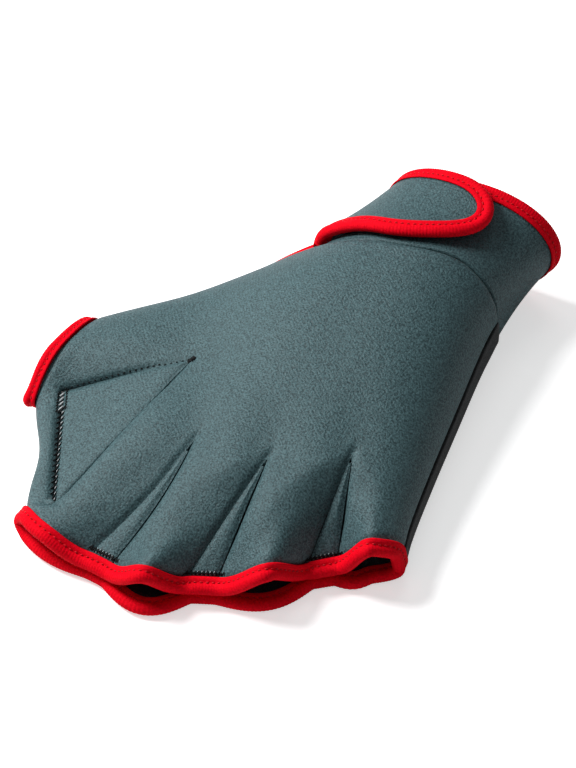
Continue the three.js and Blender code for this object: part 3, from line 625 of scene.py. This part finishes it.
# Seam sewing on the back: black thread with a pale core. A zigzag joins hem and web, a short one closes
# the foot of each finger web, dashes run up the thumb web's upper seam, and a bar tack ends it.
def beads(starts, ends, up, wide):
    """Short stitches as closed oval beads: along each from start to end the thread bows up by a sine,
    and thickens by the root of the same sine, over a ring of six sides."""
    f = np.linspace(0.0, 1.0, 6)
    bow = np.sin(np.pi * f)
    turn = np.arange(6) * math.pi / 3
    run = unit(ends - starts)
    side = unit(np.cross(run, up))
    top = np.cross(side, run)
    rise = (wide * (bow - 0.55))[None, :, None]
    middle = lerp(starts[:, None], ends[:, None], f[None, :, None]) + top[:, None] * rise
    radius = wide * (0.22 + 0.32 * np.sqrt(np.maximum(bow, 0)))
    ring = side[:, None] * np.cos(turn)[None, :, None] + top[:, None] * np.sin(turn)[None, :, None]
    points = middle[:, :, None] + radius[None, :, None, None] * ring[:, None]
    n = np.arange(36).reshape(6, 6)
    n = np.concatenate([n, n[:, :1]], axis=1)
    walls = np.stack([n[:-1, :-1], n[:-1, 1:], n[1:, 1:], n[1:, :-1]], axis=-1).reshape(-1, 4)
    caps = np.array([[3, 2, 1, 0], [5, 4, 3, 0], [30, 31, 32, 33], [30, 33, 34, 35]])
    one = np.concatenate([walls, caps])
    quads = (one[None] + 36 * np.arange(len(starts))[:, None, None]).reshape(-1, 4)
    return points.reshape(-1, 3), quads


def sewing_finish(name, colour):
    """Twisted sewing thread: fine slanting yarn lines in colour and bump, and a little gloss."""
    finish, tree, shader = new_finish(name, 0.5, 0.2)
    twist = rows_of(tree, "DIAGONAL", Vector=piece_space(tree), Scale=1400.0)
    coloured(tree, shader, twist, [0.6 * c for c in colour], colour)
    raised(tree, shader, twist, 0.4, 0.0001)
    return finish


black_thread = sewing_finish("black_thread", (0.004, 0.004, 0.005))
pale_thread = sewing_finish("pale_thread", (0.42, 0.45, 0.46))
SEWN_ON = [BVHTree.FromPolygons(back_points.tolist(), back_sheet[1].tolist())]
SEWN_ON += [BVHTree.FromPolygons(sheet[0].tolist(), sheet[1].tolist()) for sheet in web_sheets]


def laid_on_cloth(points):
    """The nearest points of the cloth, and the directions out of it there."""
    found = [min((tree.find_nearest(p) for tree in SEWN_ON), key=lambda hit: hit[3]) for p in points.tolist()]
    return np.array([hit[0][:] for hit in found]), np.array([hit[1][:] for hit in found])


def sewing(name, points, wide, finish, joined=True):
    """Beads of thread on the cloth through a row of points: one from each to the next, or where they
    aren't joined one to every pair."""
    on_cloth, tops = laid_on_cloth(points)
    tops = tops * np.where(tops[:, 2:] < 0, -1, 1)
    starts = on_cloth[:-1] if joined else on_cloth[0::2]
    ends = on_cloth[1:] if joined else on_cloth[1::2]
    top = tops[:-1] if joined else tops[0::2]
    thread = beads(starts, ends, top, wide)
    return make_piece(name, *thread, finish, "black_neoprene", [])


def beside_seam(w, aside):
    """Points a distance to the web's side of the hem's seam, or where it is below nought the hem's."""
    here = hem_point(0 * w, w)
    into_hem = unit(hem_point(0 * w + 0.2, w) - here)
    into_web = unit(web_point(1, w, 0 * w + HEM_GAP - 0.02) - here)
    return here + np.where(aside < 0, -aside * into_hem, aside * into_web)


def slanted(first, last, every, lean, from_side, to_side):
    """Pairs of points for strokes across the hem's seam: one every so far along it, leaning up it."""
    seam_long = float(np.linalg.norm(line_point(1, "right", HEM) - line_point(1, "left", HEM)))
    w = np.arange(first, last, every / seam_long)
    starts, ends = beside_seam(w, from_side), beside_seam(np.clip(w - lean / seam_long, 0.0, 1.0), to_side)
    return np.stack([starts, ends], axis=1).reshape(-1, 3)


# Strokes at the hem's seam: name, first and last share of the seam, every so far, lean, the side that
# each comes from and goes to, width and thread. A pale core shows between the black ones.
HEM_STROKES = [
    ("hem_stitches", 0.19, 0.99, 0.0025, 0.0026, -0.0003, 0.0022, 0.00045, black_thread),
    ("hem_stitches_pale", 0.205, 0.97, 0.0025, 0.0012, 0.0002, 0.0015, 0.00055, pale_thread),
    ("hem_stitches_left", 0.19, 0.99, 0.0025, 0.0016, -0.0009, 0.0001, 0.00036, black_thread),
    ("hem_start_left", 0.03, 0.19, 0.0014, 0.0016, -0.0017, -0.0006, 0.00046, black_thread),
    ("hem_start_right", 0.03, 0.19, 0.0014, 0.0016, 0.0015, 0.0026, 0.00046, black_thread),
    ("hem_start_pale", 0.045, 0.19, 0.0022, 0.0018, -0.0005, 0.0011, 0.00075, pale_thread),
]
for name, first, last, every, lean, from_side, to_side, wide, thread in HEM_STROKES:
    sewing(name, slanted(first, last, every, lean, from_side, to_side), wide, thread, joined=False)

# Short zigzags close the feet of the finger webs, a little wider than the webs.
FOOT_POINTS, FOOT_OVER = 21, 0.22
FOOT_LOW, FOOT_HIGH = 0.998, 0.980
FOOT_WIDE, FOOT_LIGHT_WIDE = 0.00046, 0.00034
for k, name in ((2, "index_middle"), (3, "middle_ring"), (4, "ring_little")):
    steps = np.linspace(-FOOT_OVER, 1 + FOOT_OVER, FOOT_POINTS)
    low, high = across_dart(k, steps, FOOT_LOW), across_dart(k, steps, FOOT_HIGH)
    swing = (np.arange(FOOT_POINTS) % 2)[:, None]
    light = lerp(low, high, 1 - swing)[4:-5]
    sewing("foot_zigzag_" + name, lerp(low, high, swing), FOOT_WIDE, black_thread)
    sewing("foot_zigzag_light_" + name, light, FOOT_LIGHT_WIDE, pale_thread, joined=False)

# Dashes of a straight seam run just outside the thumb web's upper side.
DASHES, DASH_INSET, DASH_ASIDE, DASH_WIDE = 22, 0.004, 0.0004, 0.00045
dash_ends = np.linspace(DART + DASH_INSET, HEM - DASH_INSET, 2 * DASHES)
dash_seam = line_point(1, "left", dash_ends)
dash_line = dash_seam + unit(dash_seam - line_point(1, "right", dash_ends)) * DASH_ASIDE
sewing("seam_dashes", dash_line, DASH_WIDE, black_thread, joined=False)

# A bar tack swings from side to side over the head of the thumb's dart.
TACK_POINTS, TACK_BACK, TACK_AHEAD, TACK_ASIDE, TACK_WIDE = 9, 0.0012, 0.0022, 0.0011, 0.00055
apex = line_point(1, "left", DART)
below = DART + 0.02
tack_run = unit(line_point(1, "left", below) + line_point(1, "right", below) - 2 * apex)
tack_side = unit(np.cross(tack_run, np.array([0.0, 0.0, 1.0])))
tack_swing = np.where(np.arange(TACK_POINTS) % 2 == 0, -1.0, 1.0)[:, None]
tack_ahead = np.linspace(-TACK_BACK, TACK_AHEAD, TACK_POINTS)[:, None]
tack = apex + tack_run * tack_ahead + tack_side * tack_swing * TACK_ASIDE
sewing("bar_tack", tack, TACK_WIDE, black_thread)


# Palm: one panel of black neoprene, flat where the glove lies on it. Its sides round up to meet the
# back just under the two side seams, and its ends lift a little for the tape.
PALM_ROUNDING, PALM_BULGE = 0.08 * WIDTH, 0.006 * WIDTH
PALM_INSIDE = 0.6 * WALL
LIFT_RUN = 0.07
UPTURN_FROM = 0.6
BAND, BAND_THICK = 0.0062, 0.0046
EDGE_LIFT = (BAND_THICK - WALL) / 2 + 0.00004


def seam_inward(k, t):
    """Level direction from a side seam towards the next line."""
    seam = line_point(k, "left", t)
    inner = line_point(1, "left", t) if k == 0 else line_point(4, "right", t)
    return unit((inner - seam) * np.array([1, 1, 0]))


def palm_line(k, side, t):
    """The same lines on the floor, the outer two a rounding inside their seams."""
    point = line_point(k, side, t) * np.array([1, 1, 0])
    if k in (0, 5):
        return point + seam_inward(k, t) * PALM_ROUNDING
    if k == 1:
        near, far = line_point(1, side, HEM), line_point(1, side, 1.0)
        aside = unit(np.array([near[1] - far[1], far[0] - near[0], 0.0]))
        moved = point + aside * (-GAP if side == "left" else GAP)
        return np.where((np.asarray(t) > HEM_GAP)[..., None], moved, point)
    return point


def palm_lift(t):
    """How much the palm lifts at its ends, so that the bindings rest level with it."""
    return EDGE_LIFT * np.maximum(ease((t - 1 + LIFT_RUN) / LIFT_RUN), ease((LIFT_RUN - t) / LIFT_RUN))


def palm_point(j, s, t):
    """The palm's flat over strip j, turning up beside the hem's two ends."""
    s, t = spread(s, t)
    point = between(j, s, t, palm_line, STRIPS[j][2])
    z = palm_lift(t)
    if j < 2:
        side = "left" if j == 0 else "right"
        f = s if j == 0 else 1 - s
        end = line_point(1, side, 1.0)
        here = line_point(1, side, t)
        far = np.hypot(end[0] - here[..., 0], end[1] - here[..., 1])
        corner = np.where(t > HEM, hem_under(far, end[2] - GAP), 0)
        upturn = 1 - np.sqrt(1 - np.clip((f - UPTURN_FROM) / (1 - UPTURN_FROM), 0, 1) ** 2)
        z = np.maximum(z, corner * upturn)
    return at_height(point, z)


def palm_web(k, s, t):
    """Flat of the palm between the two sides of dart k."""
    s, t = spread(s, t)
    return at_height(across_dart(k, s, t, palm_line), palm_lift(t))


def palm_side(k, f, t):
    """Rounded side of the palm: an upright oval from the flat to just under the side seam."""
    f, t = spread(f, t)
    seam = line_point(k, "left", t)
    top = back_height(seam[..., 0], seam[..., 1]) - 2 * GAP
    bottom = palm_lift(t)
    level = (bottom + top) / 2
    reach = PALM_ROUNDING + PALM_BULGE
    last = math.acos(PALM_ROUNDING / reach)
    angle = lerp(-math.pi / 2, last, f)
    out = reach * np.cos(angle) - PALM_ROUNDING
    up = np.where(angle < 0, (level - bottom) * np.sin(angle), (top - level) * np.sin(angle) / math.sin(last))
    point = seam - seam_inward(k, t) * out[..., None]
    return at_height(point, level + up)


black_neoprene = neoprene_finish("black_neoprene", (0.005, 0.006, 0.006), (0.019, 0.021, 0.023), 1400.0)

PALM_DOWN = np.concatenate([np.linspace(0, HEM_GAP, 60), np.linspace(HEM, 1, 24)])
PALM_DARTS = PALM_DOWN[PALM_DOWN >= DART - 1e-9]
UPTURN = UPTURN_FROM + (1 - UPTURN_FROM) * np.sin(np.linspace(0, 1, 12)[1:] * math.pi / 2)
UPTURN = np.concatenate([np.linspace(0, UPTURN_FROM, 8), UPTURN])
PALM_ACROSS = [UPTURN, 1 - UPTURN[::-1]] + [np.linspace(0, 1, 13)] * 3
palm_patches = [patch(PALM_DOWN, PALM_ACROSS[j], lambda t, s, j=j: palm_point(j, s, t)) for j in range(5)]
for k in (1, 2, 3, 4):
    rows = PALM_DARTS[PALM_DARTS <= (HEM_GAP if k == 1 else 1)]
    palm_patches.append(patch(rows, np.linspace(0, 1, 6), lambda t, s, k=k: palm_web(k, s, t)))
palm_patches.append(patch(PALM_DOWN, np.linspace(0, 1, 25), lambda t, f: palm_side(5, f, t)))
palm_patches.append(patch(PALM_DOWN, np.linspace(1, 0, 25), lambda t, f: palm_side(0, f, t)))
palm_sheet = sewn(palm_patches, flip=True)
palm_points, palm_quads = with_wall(*palm_sheet, WALL)
palm_inside = palm_points[len(palm_points) // 2:]
palm_inside[:, 2] = np.maximum(palm_inside[:, 2], PALM_INSIDE)
palm = make_piece("palm", palm_points, palm_quads, black_neoprene, "black_neoprene", ["palm_panel"])


# Finger binding: one loop of ribbed red tape, folded over the open finger ends of back, webs and palm
# and sewn through, so that the edge is a round roll.
# Openings: axis x and y, its rise at the floor and on the back, and the share of the cloth's slope.
OPENINGS = {
    "fingers": (0.0, -1.0, 0.1, -0.4, 0.3),
    "thumb": (-1.0, 0.0, 0.2, -0.1, 1.2),
    "wrist": (0.0, 1.0, 0.0, 0.0, 0.3),
}


def edge_of(point_at, steps, last, inside, opening):
    """An edge to be bound: points with the direction out of the cloth, the opening's axis mixed with
    the cloth's own slope, as an array of six columns."""
    x, y, low, high, slope = OPENINGS[opening]
    steps = np.asarray(steps, float)
    p = point_at(steps, np.full_like(steps, last))
    out = unit(p - point_at(steps, np.full_like(steps, inside)))
    dip = lerp(low, high, ease(p[:, 2] / (0.3 * HEIGHT)))
    axis = np.stack([np.full_like(dip, x), np.full_like(dip, y), dip], axis=-1)
    return np.concatenate([p, unit(out * slope + axis)], axis=1)


def evened(edge, count, closed):
    """The same edge at even distances along it."""
    ring = np.concatenate([edge, edge[:1]]) if closed else edge
    step = np.linalg.norm(np.diff(ring[:, :3], axis=0), axis=1)
    far = np.concatenate([[0], np.cumsum(step)])
    stops = np.linspace(0, far[-1], count + 1)[:-1] if closed else np.linspace(0, far[-1], count)
    return np.stack([np.interp(stops, far, ring[:, c]) for c in range(ring.shape[1])], axis=-1)


def softened(edge, columns, width, closed):
    """Evens out chosen columns with a bell-shaped mean over about width points either side."""
    reach = int(3 * width)
    bell = np.exp(-0.5 * (np.arange(-reach, reach + 1) / width) ** 2)
    bell = bell / bell.sum()
    made = edge.copy()
    beyond = {"mode": "wrap"} if closed else {"mode": "reflect", "reflect_type": "odd"}
    for c in columns:
        made[:, c] = np.convolve(np.pad(edge[:, c], reach, **beyond), bell, mode="valid")
    return made


# Section of folded tape, out of the cloth and across it, in shares of its width and thickness: a
# flat lip, the stitched groove, the full roll, and the same underneath.
TAPE = np.array([
    [-0.02, 0.34], [0.00, 0.42], [0.06, 0.455], [0.18, 0.46], [0.27, 0.44], [0.32, 0.385], [0.36, 0.375],
    [0.41, 0.41], [0.50, 0.485], [0.62, 0.52], [0.75, 0.48], [0.87, 0.37], [0.96, 0.20], [1.00, 0.0],
])
TAPE = np.concatenate([TAPE, (TAPE * np.array([1, -1]))[-2::-1], [[0.03, -0.30], [0.03, 0.30]]])


def tape_along(edge, spacing, closed, turn):
    """An edge made even for the tape, with the directions away from the cloth and up out of its face:
    up is ahead x away, turned to the cloth's outside."""
    total = np.linalg.norm(np.diff(edge[:, :3], axis=0), axis=1).sum()
    path = evened(edge, int(total / spacing), closed)
    path = softened(path, (0, 1, 2), 0.0016 / spacing, closed)
    path = softened(path, (3, 4, 5), 0.0045 / spacing, closed)
    p, out = path[:, :3], path[:, 3:6]
    if closed:
        ahead = unit(np.roll(p, -1, axis=0) - np.roll(p, 1, axis=0))
    else:
        ahead = unit(np.gradient(p, axis=0))
    away = unit(out - ahead * (out * ahead).sum(axis=1, keepdims=True))
    up = np.cross(ahead, away) * turn
    return path, away, up


RIB_PITCH, RIB_DEEP, RIB_ROWS = 0.0011, 0.00005, 5
TAPE_SPACING = RIB_PITCH / RIB_ROWS


def tape(edge, closed, turn, band=BAND, thick=BAND_THICK):
    """Mesh of folded tape along an edge: the section, swelling out from its middle by a cosine of the
    distance along at each rib of the roll. Distance along it and round it is kept for its yarns."""
    path, away, up = tape_along(edge, TAPE_SPACING, closed, turn)
    size, count = len(TAPE), len(path)
    from_middle = unit(np.stack([(TAPE[:, 0] - 0.62) * band, TAPE[:, 1] * thick], axis=-1))
    on_roll = ease((TAPE[:, 0] - 0.38) / 0.14)
    rib = RIB_DEEP * np.cos(2 * math.pi * np.arange(count) / RIB_ROWS)[:, None] * on_roll[None, :]
    out = TAPE[:, 0] * band + rib * from_middle[:, 0]
    rise = TAPE[:, 1] * thick - WALL / 2 + rib * from_middle[:, 1]
    points = path[:, None, :3] + away[:, None] * out[..., None] + up[:, None] * rise[..., None]
    points = points.reshape(-1, 3)
    n = np.arange(count * size).reshape(count, size)
    if closed:
        n = np.concatenate([n, n[:1]])
    n = np.concatenate([n, n[:, :1]], axis=1)
    quads = grid_quads(n)
    if turn < 0:
        quads = quads[:, ::-1]
    far = np.arange(count)[:, None] * TAPE_SPACING + 0 * out
    lap = np.linalg.norm(np.diff(TAPE * np.array([band, thick]), axis=0), axis=1)
    lap = np.concatenate([[0], np.cumsum(lap)])[None, :] + 0 * far
    extra = np.stack([far, lap], axis=-1).reshape(-1, 2)
    if not closed:
        caps = [n[0, :size][::-1], n[-1, :size]] if turn > 0 else [n[0, :size], n[-1, :size][::-1]]
        middle = len(points)
        points = np.concatenate([points, points[caps[0]].mean(0)[None], points[caps[1]].mean(0)[None]])
        extra = np.concatenate([extra, extra[caps[0][:1]], extra[caps[1][:1]]])
        for c, ring in enumerate(caps):
            following = np.roll(ring, -1)
            hub = np.full(size, middle + c)
            quads = np.concatenate([quads, np.stack([ring, following, hub, hub], axis=-1)])
    return points, quads, extra


def tape_finish(name, dark, light):
    """Woven tape: yarns that run along it a third of a rib apart, and a fine grain."""
    finish, tree, shader = new_finish(name, 0.65, 0.03)
    lengthwise = tree.nodes.new("ShaderNodeUVMap")
    lengthwise.uv_map = "path"
    every = math.pi / (10 * RIB_PITCH / 3)
    yarns = rows_of(tree, "Y", Vector=lengthwise.outputs["UV"], Scale=every, Distortion=0.4)
    fibres = grain_of(tree, Scale=1500.0)
    coloured(tree, shader, fibres, dark, light, 0.25, 0.75)
    raised(tree, shader, added(tree, yarns, 0.5, fibres), 0.5, 0.0002)
    return finish


def lay_tape(name, node, *manner):
    """Puts tape on an edge in place of its CAD node. The manner is what tape asks for."""
    points, quads, extra = tape(*manner)
    make_piece(name, points, quads, red_tape, "red_binding", [node], extra)


red_tape = tape_finish("red_tape", (0.62, 0.001, 0.006), (0.86, 0.002, 0.016))

RUN = np.linspace(0, 1, 49)
SIDE_RUN = np.linspace(1, 0, 21)


finger_parts = [(partial(back_point, 1), RUN)]
for k in (2, 3, 4):
    finger_parts += [(partial(across_dart, k), [0.5]), (partial(back_point, k), RUN)]
finger_parts += [(partial(palm_side, 5), SIDE_RUN)]
for k in (4, 3, 2):
    finger_parts += [(partial(palm_point, k), RUN[::-1]), (partial(palm_web, k), [0.5])]
finger_parts += [(partial(palm_point, 1), RUN[:0:-1])]
finger_edge = np.concatenate([edge_of(at, steps, 1.0, 0.95, "fingers") for at, steps in finger_parts])
lay_tape("finger_tape", "finger_binding", finger_edge, True, -1)


# Stitching of the finger binding: red thread in the tape's groove, a stitch every 2.2 mm, on the
# outside and on the inside.
red_thread = sewing_finish("red_thread", (0.66, 0.003, 0.012))
STITCH_EVERY, STITCH_LONG, THREAD = 2 * RIB_PITCH, 0.0015, 0.00055
GROOVE_OUT, GROOVE_HIGH = 0.345, 0.385


def tape_stitches(name, edge, closed, turn, band=BAND, thick=BAND_THICK):
    """Stitches along the tape's two grooves, a third of the way out from the lip's edge."""
    path, away, up = tape_along(edge, TAPE_SPACING, closed, turn)
    first = np.arange(0, len(path) - 12, round(STITCH_EVERY / TAPE_SPACING))
    second = first + round(STITCH_LONG / TAPE_SPACING)
    rows = []
    for face in (1, -1):
        rise = face * GROOVE_HIGH * thick - WALL / 2
        line = path[:, :3] + away * (GROOVE_OUT * band) + up * rise
        rows.append((line[first], line[second % len(path)], up[first] * face))
    thread = beads(*(np.concatenate(part) for part in zip(*rows)), THREAD)
    make_piece(name, *thread, red_thread, "red_binding", [])


tape_stitches("finger_tape_stitches", finger_edge, True, -1)


# Thumb binding: the same red tape, a fifth narrower, folded over the edge of the thumb's opening and
# stitched in its groove like the finger binding.
THUMB_TAPE = (BAND * 0.8, BAND_THICK * 0.9)
thumb_edge = np.concatenate([
    edge_of(partial(back_point, 0), RUN, 1.0, 0.95, "thumb"),
    edge_of(partial(palm_point, 0), RUN[-2::-1], 1.0, 0.95, "thumb"),
    edge_of(partial(palm_side, 0), SIDE_RUN[:0:-1], 1.0, 0.95, "thumb"),
])
lay_tape("thumb_tape", "thumb_binding", thumb_edge, True, -1, *THUMB_TAPE)
tape_stitches("thumb_tape_stitches", thumb_edge, True, -1, *THUMB_TAPE)


# Cuff: a band of the same grey neoprene round the wrist, lapped under the hand's wrist edge. It is open
# on the thumb side, where its foot draws up and in.
RIM_WIDTH, RIM_HEIGHT = 0.066, 0.047
RIM_X, RIM_Y, RIM_Z, RIM_SKEW = 0.098, 0.648, 0.50, 0.026
CUFF_START, CUFF_END = 0.118, 0.870
CUFF_INSET, CUFF_BULGE = 0.105 * WIDTH, -0.008 * WIDTH
STEP, SLIT = 0.0009, 0.45

wrist_parts = [(partial(back_point, j), np.linspace(0, 1, 33)[:-1]) for j in range(5)]
wrist_parts += [(partial(palm_side, 5), SIDE_RUN[:-1])]
wrist_parts += [(partial(palm_point, j), np.linspace(1, 0, 25)[:-1]) for j in (4, 3, 2, 1, 0)]
wrist_parts += [(partial(palm_side, 0), np.linspace(0, 1, 25))]
wrist_ring = np.concatenate([edge_of(at, steps, 0.0, 0.03, "wrist") for at, steps in wrist_parts])
wrist_ring = softened(evened(wrist_ring, 480, True), (0, 1, 2), 4.0, True)


def wrist_at(u):
    """Point of the wrist edge's ring a share u of the way round, and the direction out of the ring."""
    count = len(wrist_ring)
    place = np.mod(u, 1.0) * count
    i = np.floor(place).astype(int)
    f = (place - i)[..., None]
    p = lerp(wrist_ring[i % count, :3], wrist_ring[(i + 1) % count, :3], f)
    ahead = unit(wrist_ring[(i + 8) % count, :3] - wrist_ring[(i - 7) % count, :3])
    return p, unit(np.cross(ahead, np.array([0.0, 1.0, 0.0])))


def cuff_point(u, s):
    """The cuff: s runs straight from the hand's edge to an oval rim, with a slight hollow between, and
    the foot draws up and in where the cuff is open."""
    u, s = spread(u, s)
    p, out = wrist_at(u)
    foot = p - out * STEP
    turn = np.mod(u + 0.5, 1) - 0.5
    opened = ease(np.where(turn > 0, 1 - turn / CUFF_START, 1 - turn / (CUFF_END - 1)))
    x = foot[..., 0] + CUFF_INSET * opened
    y = lerp(foot[..., 1] + 2 * GAP, SLIT * LENGTH, opened)
    z = foot[..., 2]
    angle = np.arctan2((z - 0.46 * HEIGHT) / RIM_HEIGHT, (x + 0.015 * WIDTH) / RIM_WIDTH)
    rim = np.stack([
        RIM_X * WIDTH + (RIM_WIDTH / 2) * np.cos(angle),
        RIM_Y * LENGTH + RIM_SKEW * LENGTH * 0.5 * np.cos(angle),
        RIM_Z * HEIGHT + (RIM_HEIGHT / 2) * np.sin(angle),
    ], axis=-1)
    bulge = CUFF_BULGE * np.sin(math.pi * s) * ease(z / (0.3 * HEIGHT))
    return lerp(np.stack([x, y, z], axis=-1), rim, s[..., None]) + out * bulge[..., None]


def cuff_out(u, s):
    """Direction out of the cuff's surface, from small steps along and around it."""
    around = cuff_point(u + 0.004, s) - cuff_point(u - 0.004, s)
    up = cuff_point(u, s + 0.02) - cuff_point(u, s - 0.02)
    return unit(np.cross(around, up))


cuff_patch = patch(np.linspace(CUFF_START, CUFF_END, 160), np.linspace(0, 1, 40), cuff_point)
cuff_cloth = make_piece(
    "cuff_cloth", *with_wall(*sewn([cuff_patch]), WALL), grey_neoprene, "grey_neoprene", ["cuff"],
)


# Cuff binding: the ribbed red tape, folded over the cuff's rim and stitched, from one side of the
# opening to where the strap runs on from the other.
rim_share = np.linspace(CUFF_START, CUFF_END - 0.03, 200)
rim_points = cuff_point(rim_share, 1.0)
rim_out = unit(rim_points - cuff_point(rim_share, 0.97))
rim_edge = np.concatenate([rim_points, rim_out], axis=1)
lay_tape("cuff_tape", "cuff_binding", rim_edge, False, 1)
tape_stitches("cuff_tape_stitches", rim_edge, False, 1)


# Strap: a tab of grey neoprene that runs on from the cuff's end, round the thumb side and over the
# back of the wrist, and is pressed down on a pad of hooks.
PATCH_THICK = 0.001
TAB_LIFT = (WALL + BAND_THICK) / 2 + PATCH_THICK + 2 * GAP
TAB_ROOT, TAB_TIP, TIP_ROUND = CUFF_END - 1 + 0.01, 0.309, 0.82
# Along the tab: share of its length, low edge and high edge (of LENGTH), share of the lift.
TAB = np.array([
    [0.00, 0.505, 0.620, 0.0],
    [0.20, 0.500, 0.634, 0.4],
    [0.36, 0.496, 0.648, 1.0],
    [0.54, 0.508, 0.645, 1.0],
    [0.68, 0.511, 0.641, 1.0],
    [0.82, 0.509, 0.637, 1.0],
    [1.00, 0.524, 0.632, 1.0],
])


def on_cuff(f, y):
    """The cuff's own parameters under a share f of the tab's length, at a distance y down the hand."""
    u = lerp(TAB_ROOT, TAB_TIP, f)
    foot = cuff_point(u, 0.0)[..., 1]
    return u, (y - foot) / (cuff_point(u, 1.0)[..., 1] - foot)


def tab_point(across, f, lift):
    """The tab over the cuff: f along it, across from its low to its high edge, round at the tip."""
    across, f = spread(across, f)
    low, high, lifted = [along(TAB[:, 0], TAB[:, column], f) for column in (1, 2, 3)]
    narrow = np.sqrt(np.maximum(0, 1 - np.clip((f - TIP_ROUND) / (1 - TIP_ROUND), 0, 1) ** 2))
    u, s = on_cuff(f, ((low + high) / 2 + (across - 0.5) * (high - low) * narrow) * LENGTH)
    return cuff_point(u, s) + cuff_out(u, np.clip(s, 0.05, 0.95)) * (lifted * lift)[..., None]


tip_steps = TIP_ROUND + (1 - TIP_ROUND) * np.sin(np.linspace(0, 0.94, 24)[1:] * math.pi / 2)
tab_steps = np.concatenate([np.linspace(0, TIP_ROUND, 80), tip_steps])
tab_patch = patch(tab_steps, np.linspace(0, 1, 30), lambda f, q: tab_point(q, f, TAB_LIFT))
strap_cloth = make_piece(
    "strap_cloth", *with_wall(*sewn([tab_patch]), WALL), grey_neoprene, "grey_neoprene", ["strap"],
)


# Strap binding: the ribbed red tape, folded over the tab's edge and stitched. It runs up one side of
# the tab, round the tip and back down the other.
def tab_edge(q, steps):
    """One side of the tab, with the direction away from its middle."""
    p = tab_point(q, steps, TAB_LIFT)
    middle = tab_point(0.5, np.minimum(steps, TIP_ROUND), TAB_LIFT)
    return np.concatenate([p, unit(p - middle)], axis=1)


tip_run = TIP_ROUND + (1 - TIP_ROUND) * np.sin(np.linspace(0, 1, 40)[1:] * math.pi / 2)
high_side = tab_edge(1.0, np.concatenate([np.linspace(0.075, TIP_ROUND, 90), tip_run]))
low_side = tab_edge(0.0, np.concatenate([np.linspace(0.1, TIP_ROUND, 90), tip_run]))[-2::-1]
strap_edge = np.concatenate([high_side, low_side])
lay_tape("strap_tape", "strap_binding", strap_edge, False, 1)
tape_stitches("strap_tape_stitches", strap_edge, False, 1)


# Hook pad: a thin black pad of touch fastener on the cuff, which the tab is pressed down on. Its corner
# shows below the tab's tip.
PAD_FROM, PAD_TO, PAD_LOW, PAD_HIGH, PAD_ROUND = 0.65, 1.045, 0.543, 0.612, 0.7


def pad_point(f, q):
    """The pad on the cuff, with a blunt rounded end."""
    f, q = spread(f, q)
    narrow = (1 - np.clip((f - PAD_ROUND) / (1 - PAD_ROUND), 0, 1) ** 4) ** 0.25
    y = ((PAD_LOW + PAD_HIGH) / 2 + (q - 0.5) * (PAD_HIGH - PAD_LOW) * narrow) * LENGTH
    u, s = on_cuff(lerp(PAD_FROM, PAD_TO, f), y)
    return cuff_point(u, s) + cuff_out(u, s) * (PATCH_THICK + GAP)


hook_finish = neoprene_finish("hook_pad", (0.003, 0.003, 0.004), (0.02, 0.022, 0.024), 2200.0)
pad_tip = PAD_ROUND + (1 - PAD_ROUND) * np.sin(np.linspace(0, 0.93, 20)[1:] * math.pi / 2)
pad_rows = np.concatenate([np.linspace(0, PAD_ROUND, 30), pad_tip])
pad_patch = patch(pad_rows, np.linspace(0, 1, 24), pad_point)
make_piece("hooks", *with_wall(*sewn([pad_patch]), PATCH_THICK), hook_finish, "hook_pad", ["hook_patch"])


# Vent binding: red tape on the hand's wrist edge, where the cuff stands open on the thumb side. It is
# less than half as wide as the other tape, and no row of stitches shows.
vent_share = np.linspace(CUFF_START - 0.002, CUFF_END - 1 + 0.03, 80)
vent_points, vent_side = wrist_at(vent_share)
vent_ahead = wrist_at(vent_share + 0.004)[0] - wrist_at(vent_share - 0.004)[0]
vent_out = unit(np.cross(vent_ahead, vent_side))
vent_out = vent_out * np.where(vent_out[:, 1:2] > 0, 1, -1)
vent_edge = np.concatenate([vent_points, vent_out], axis=1)
lay_tape("vent_tape", "vent_binding", vent_edge, False, -1, BAND * 0.4, BAND_THICK * 0.8)
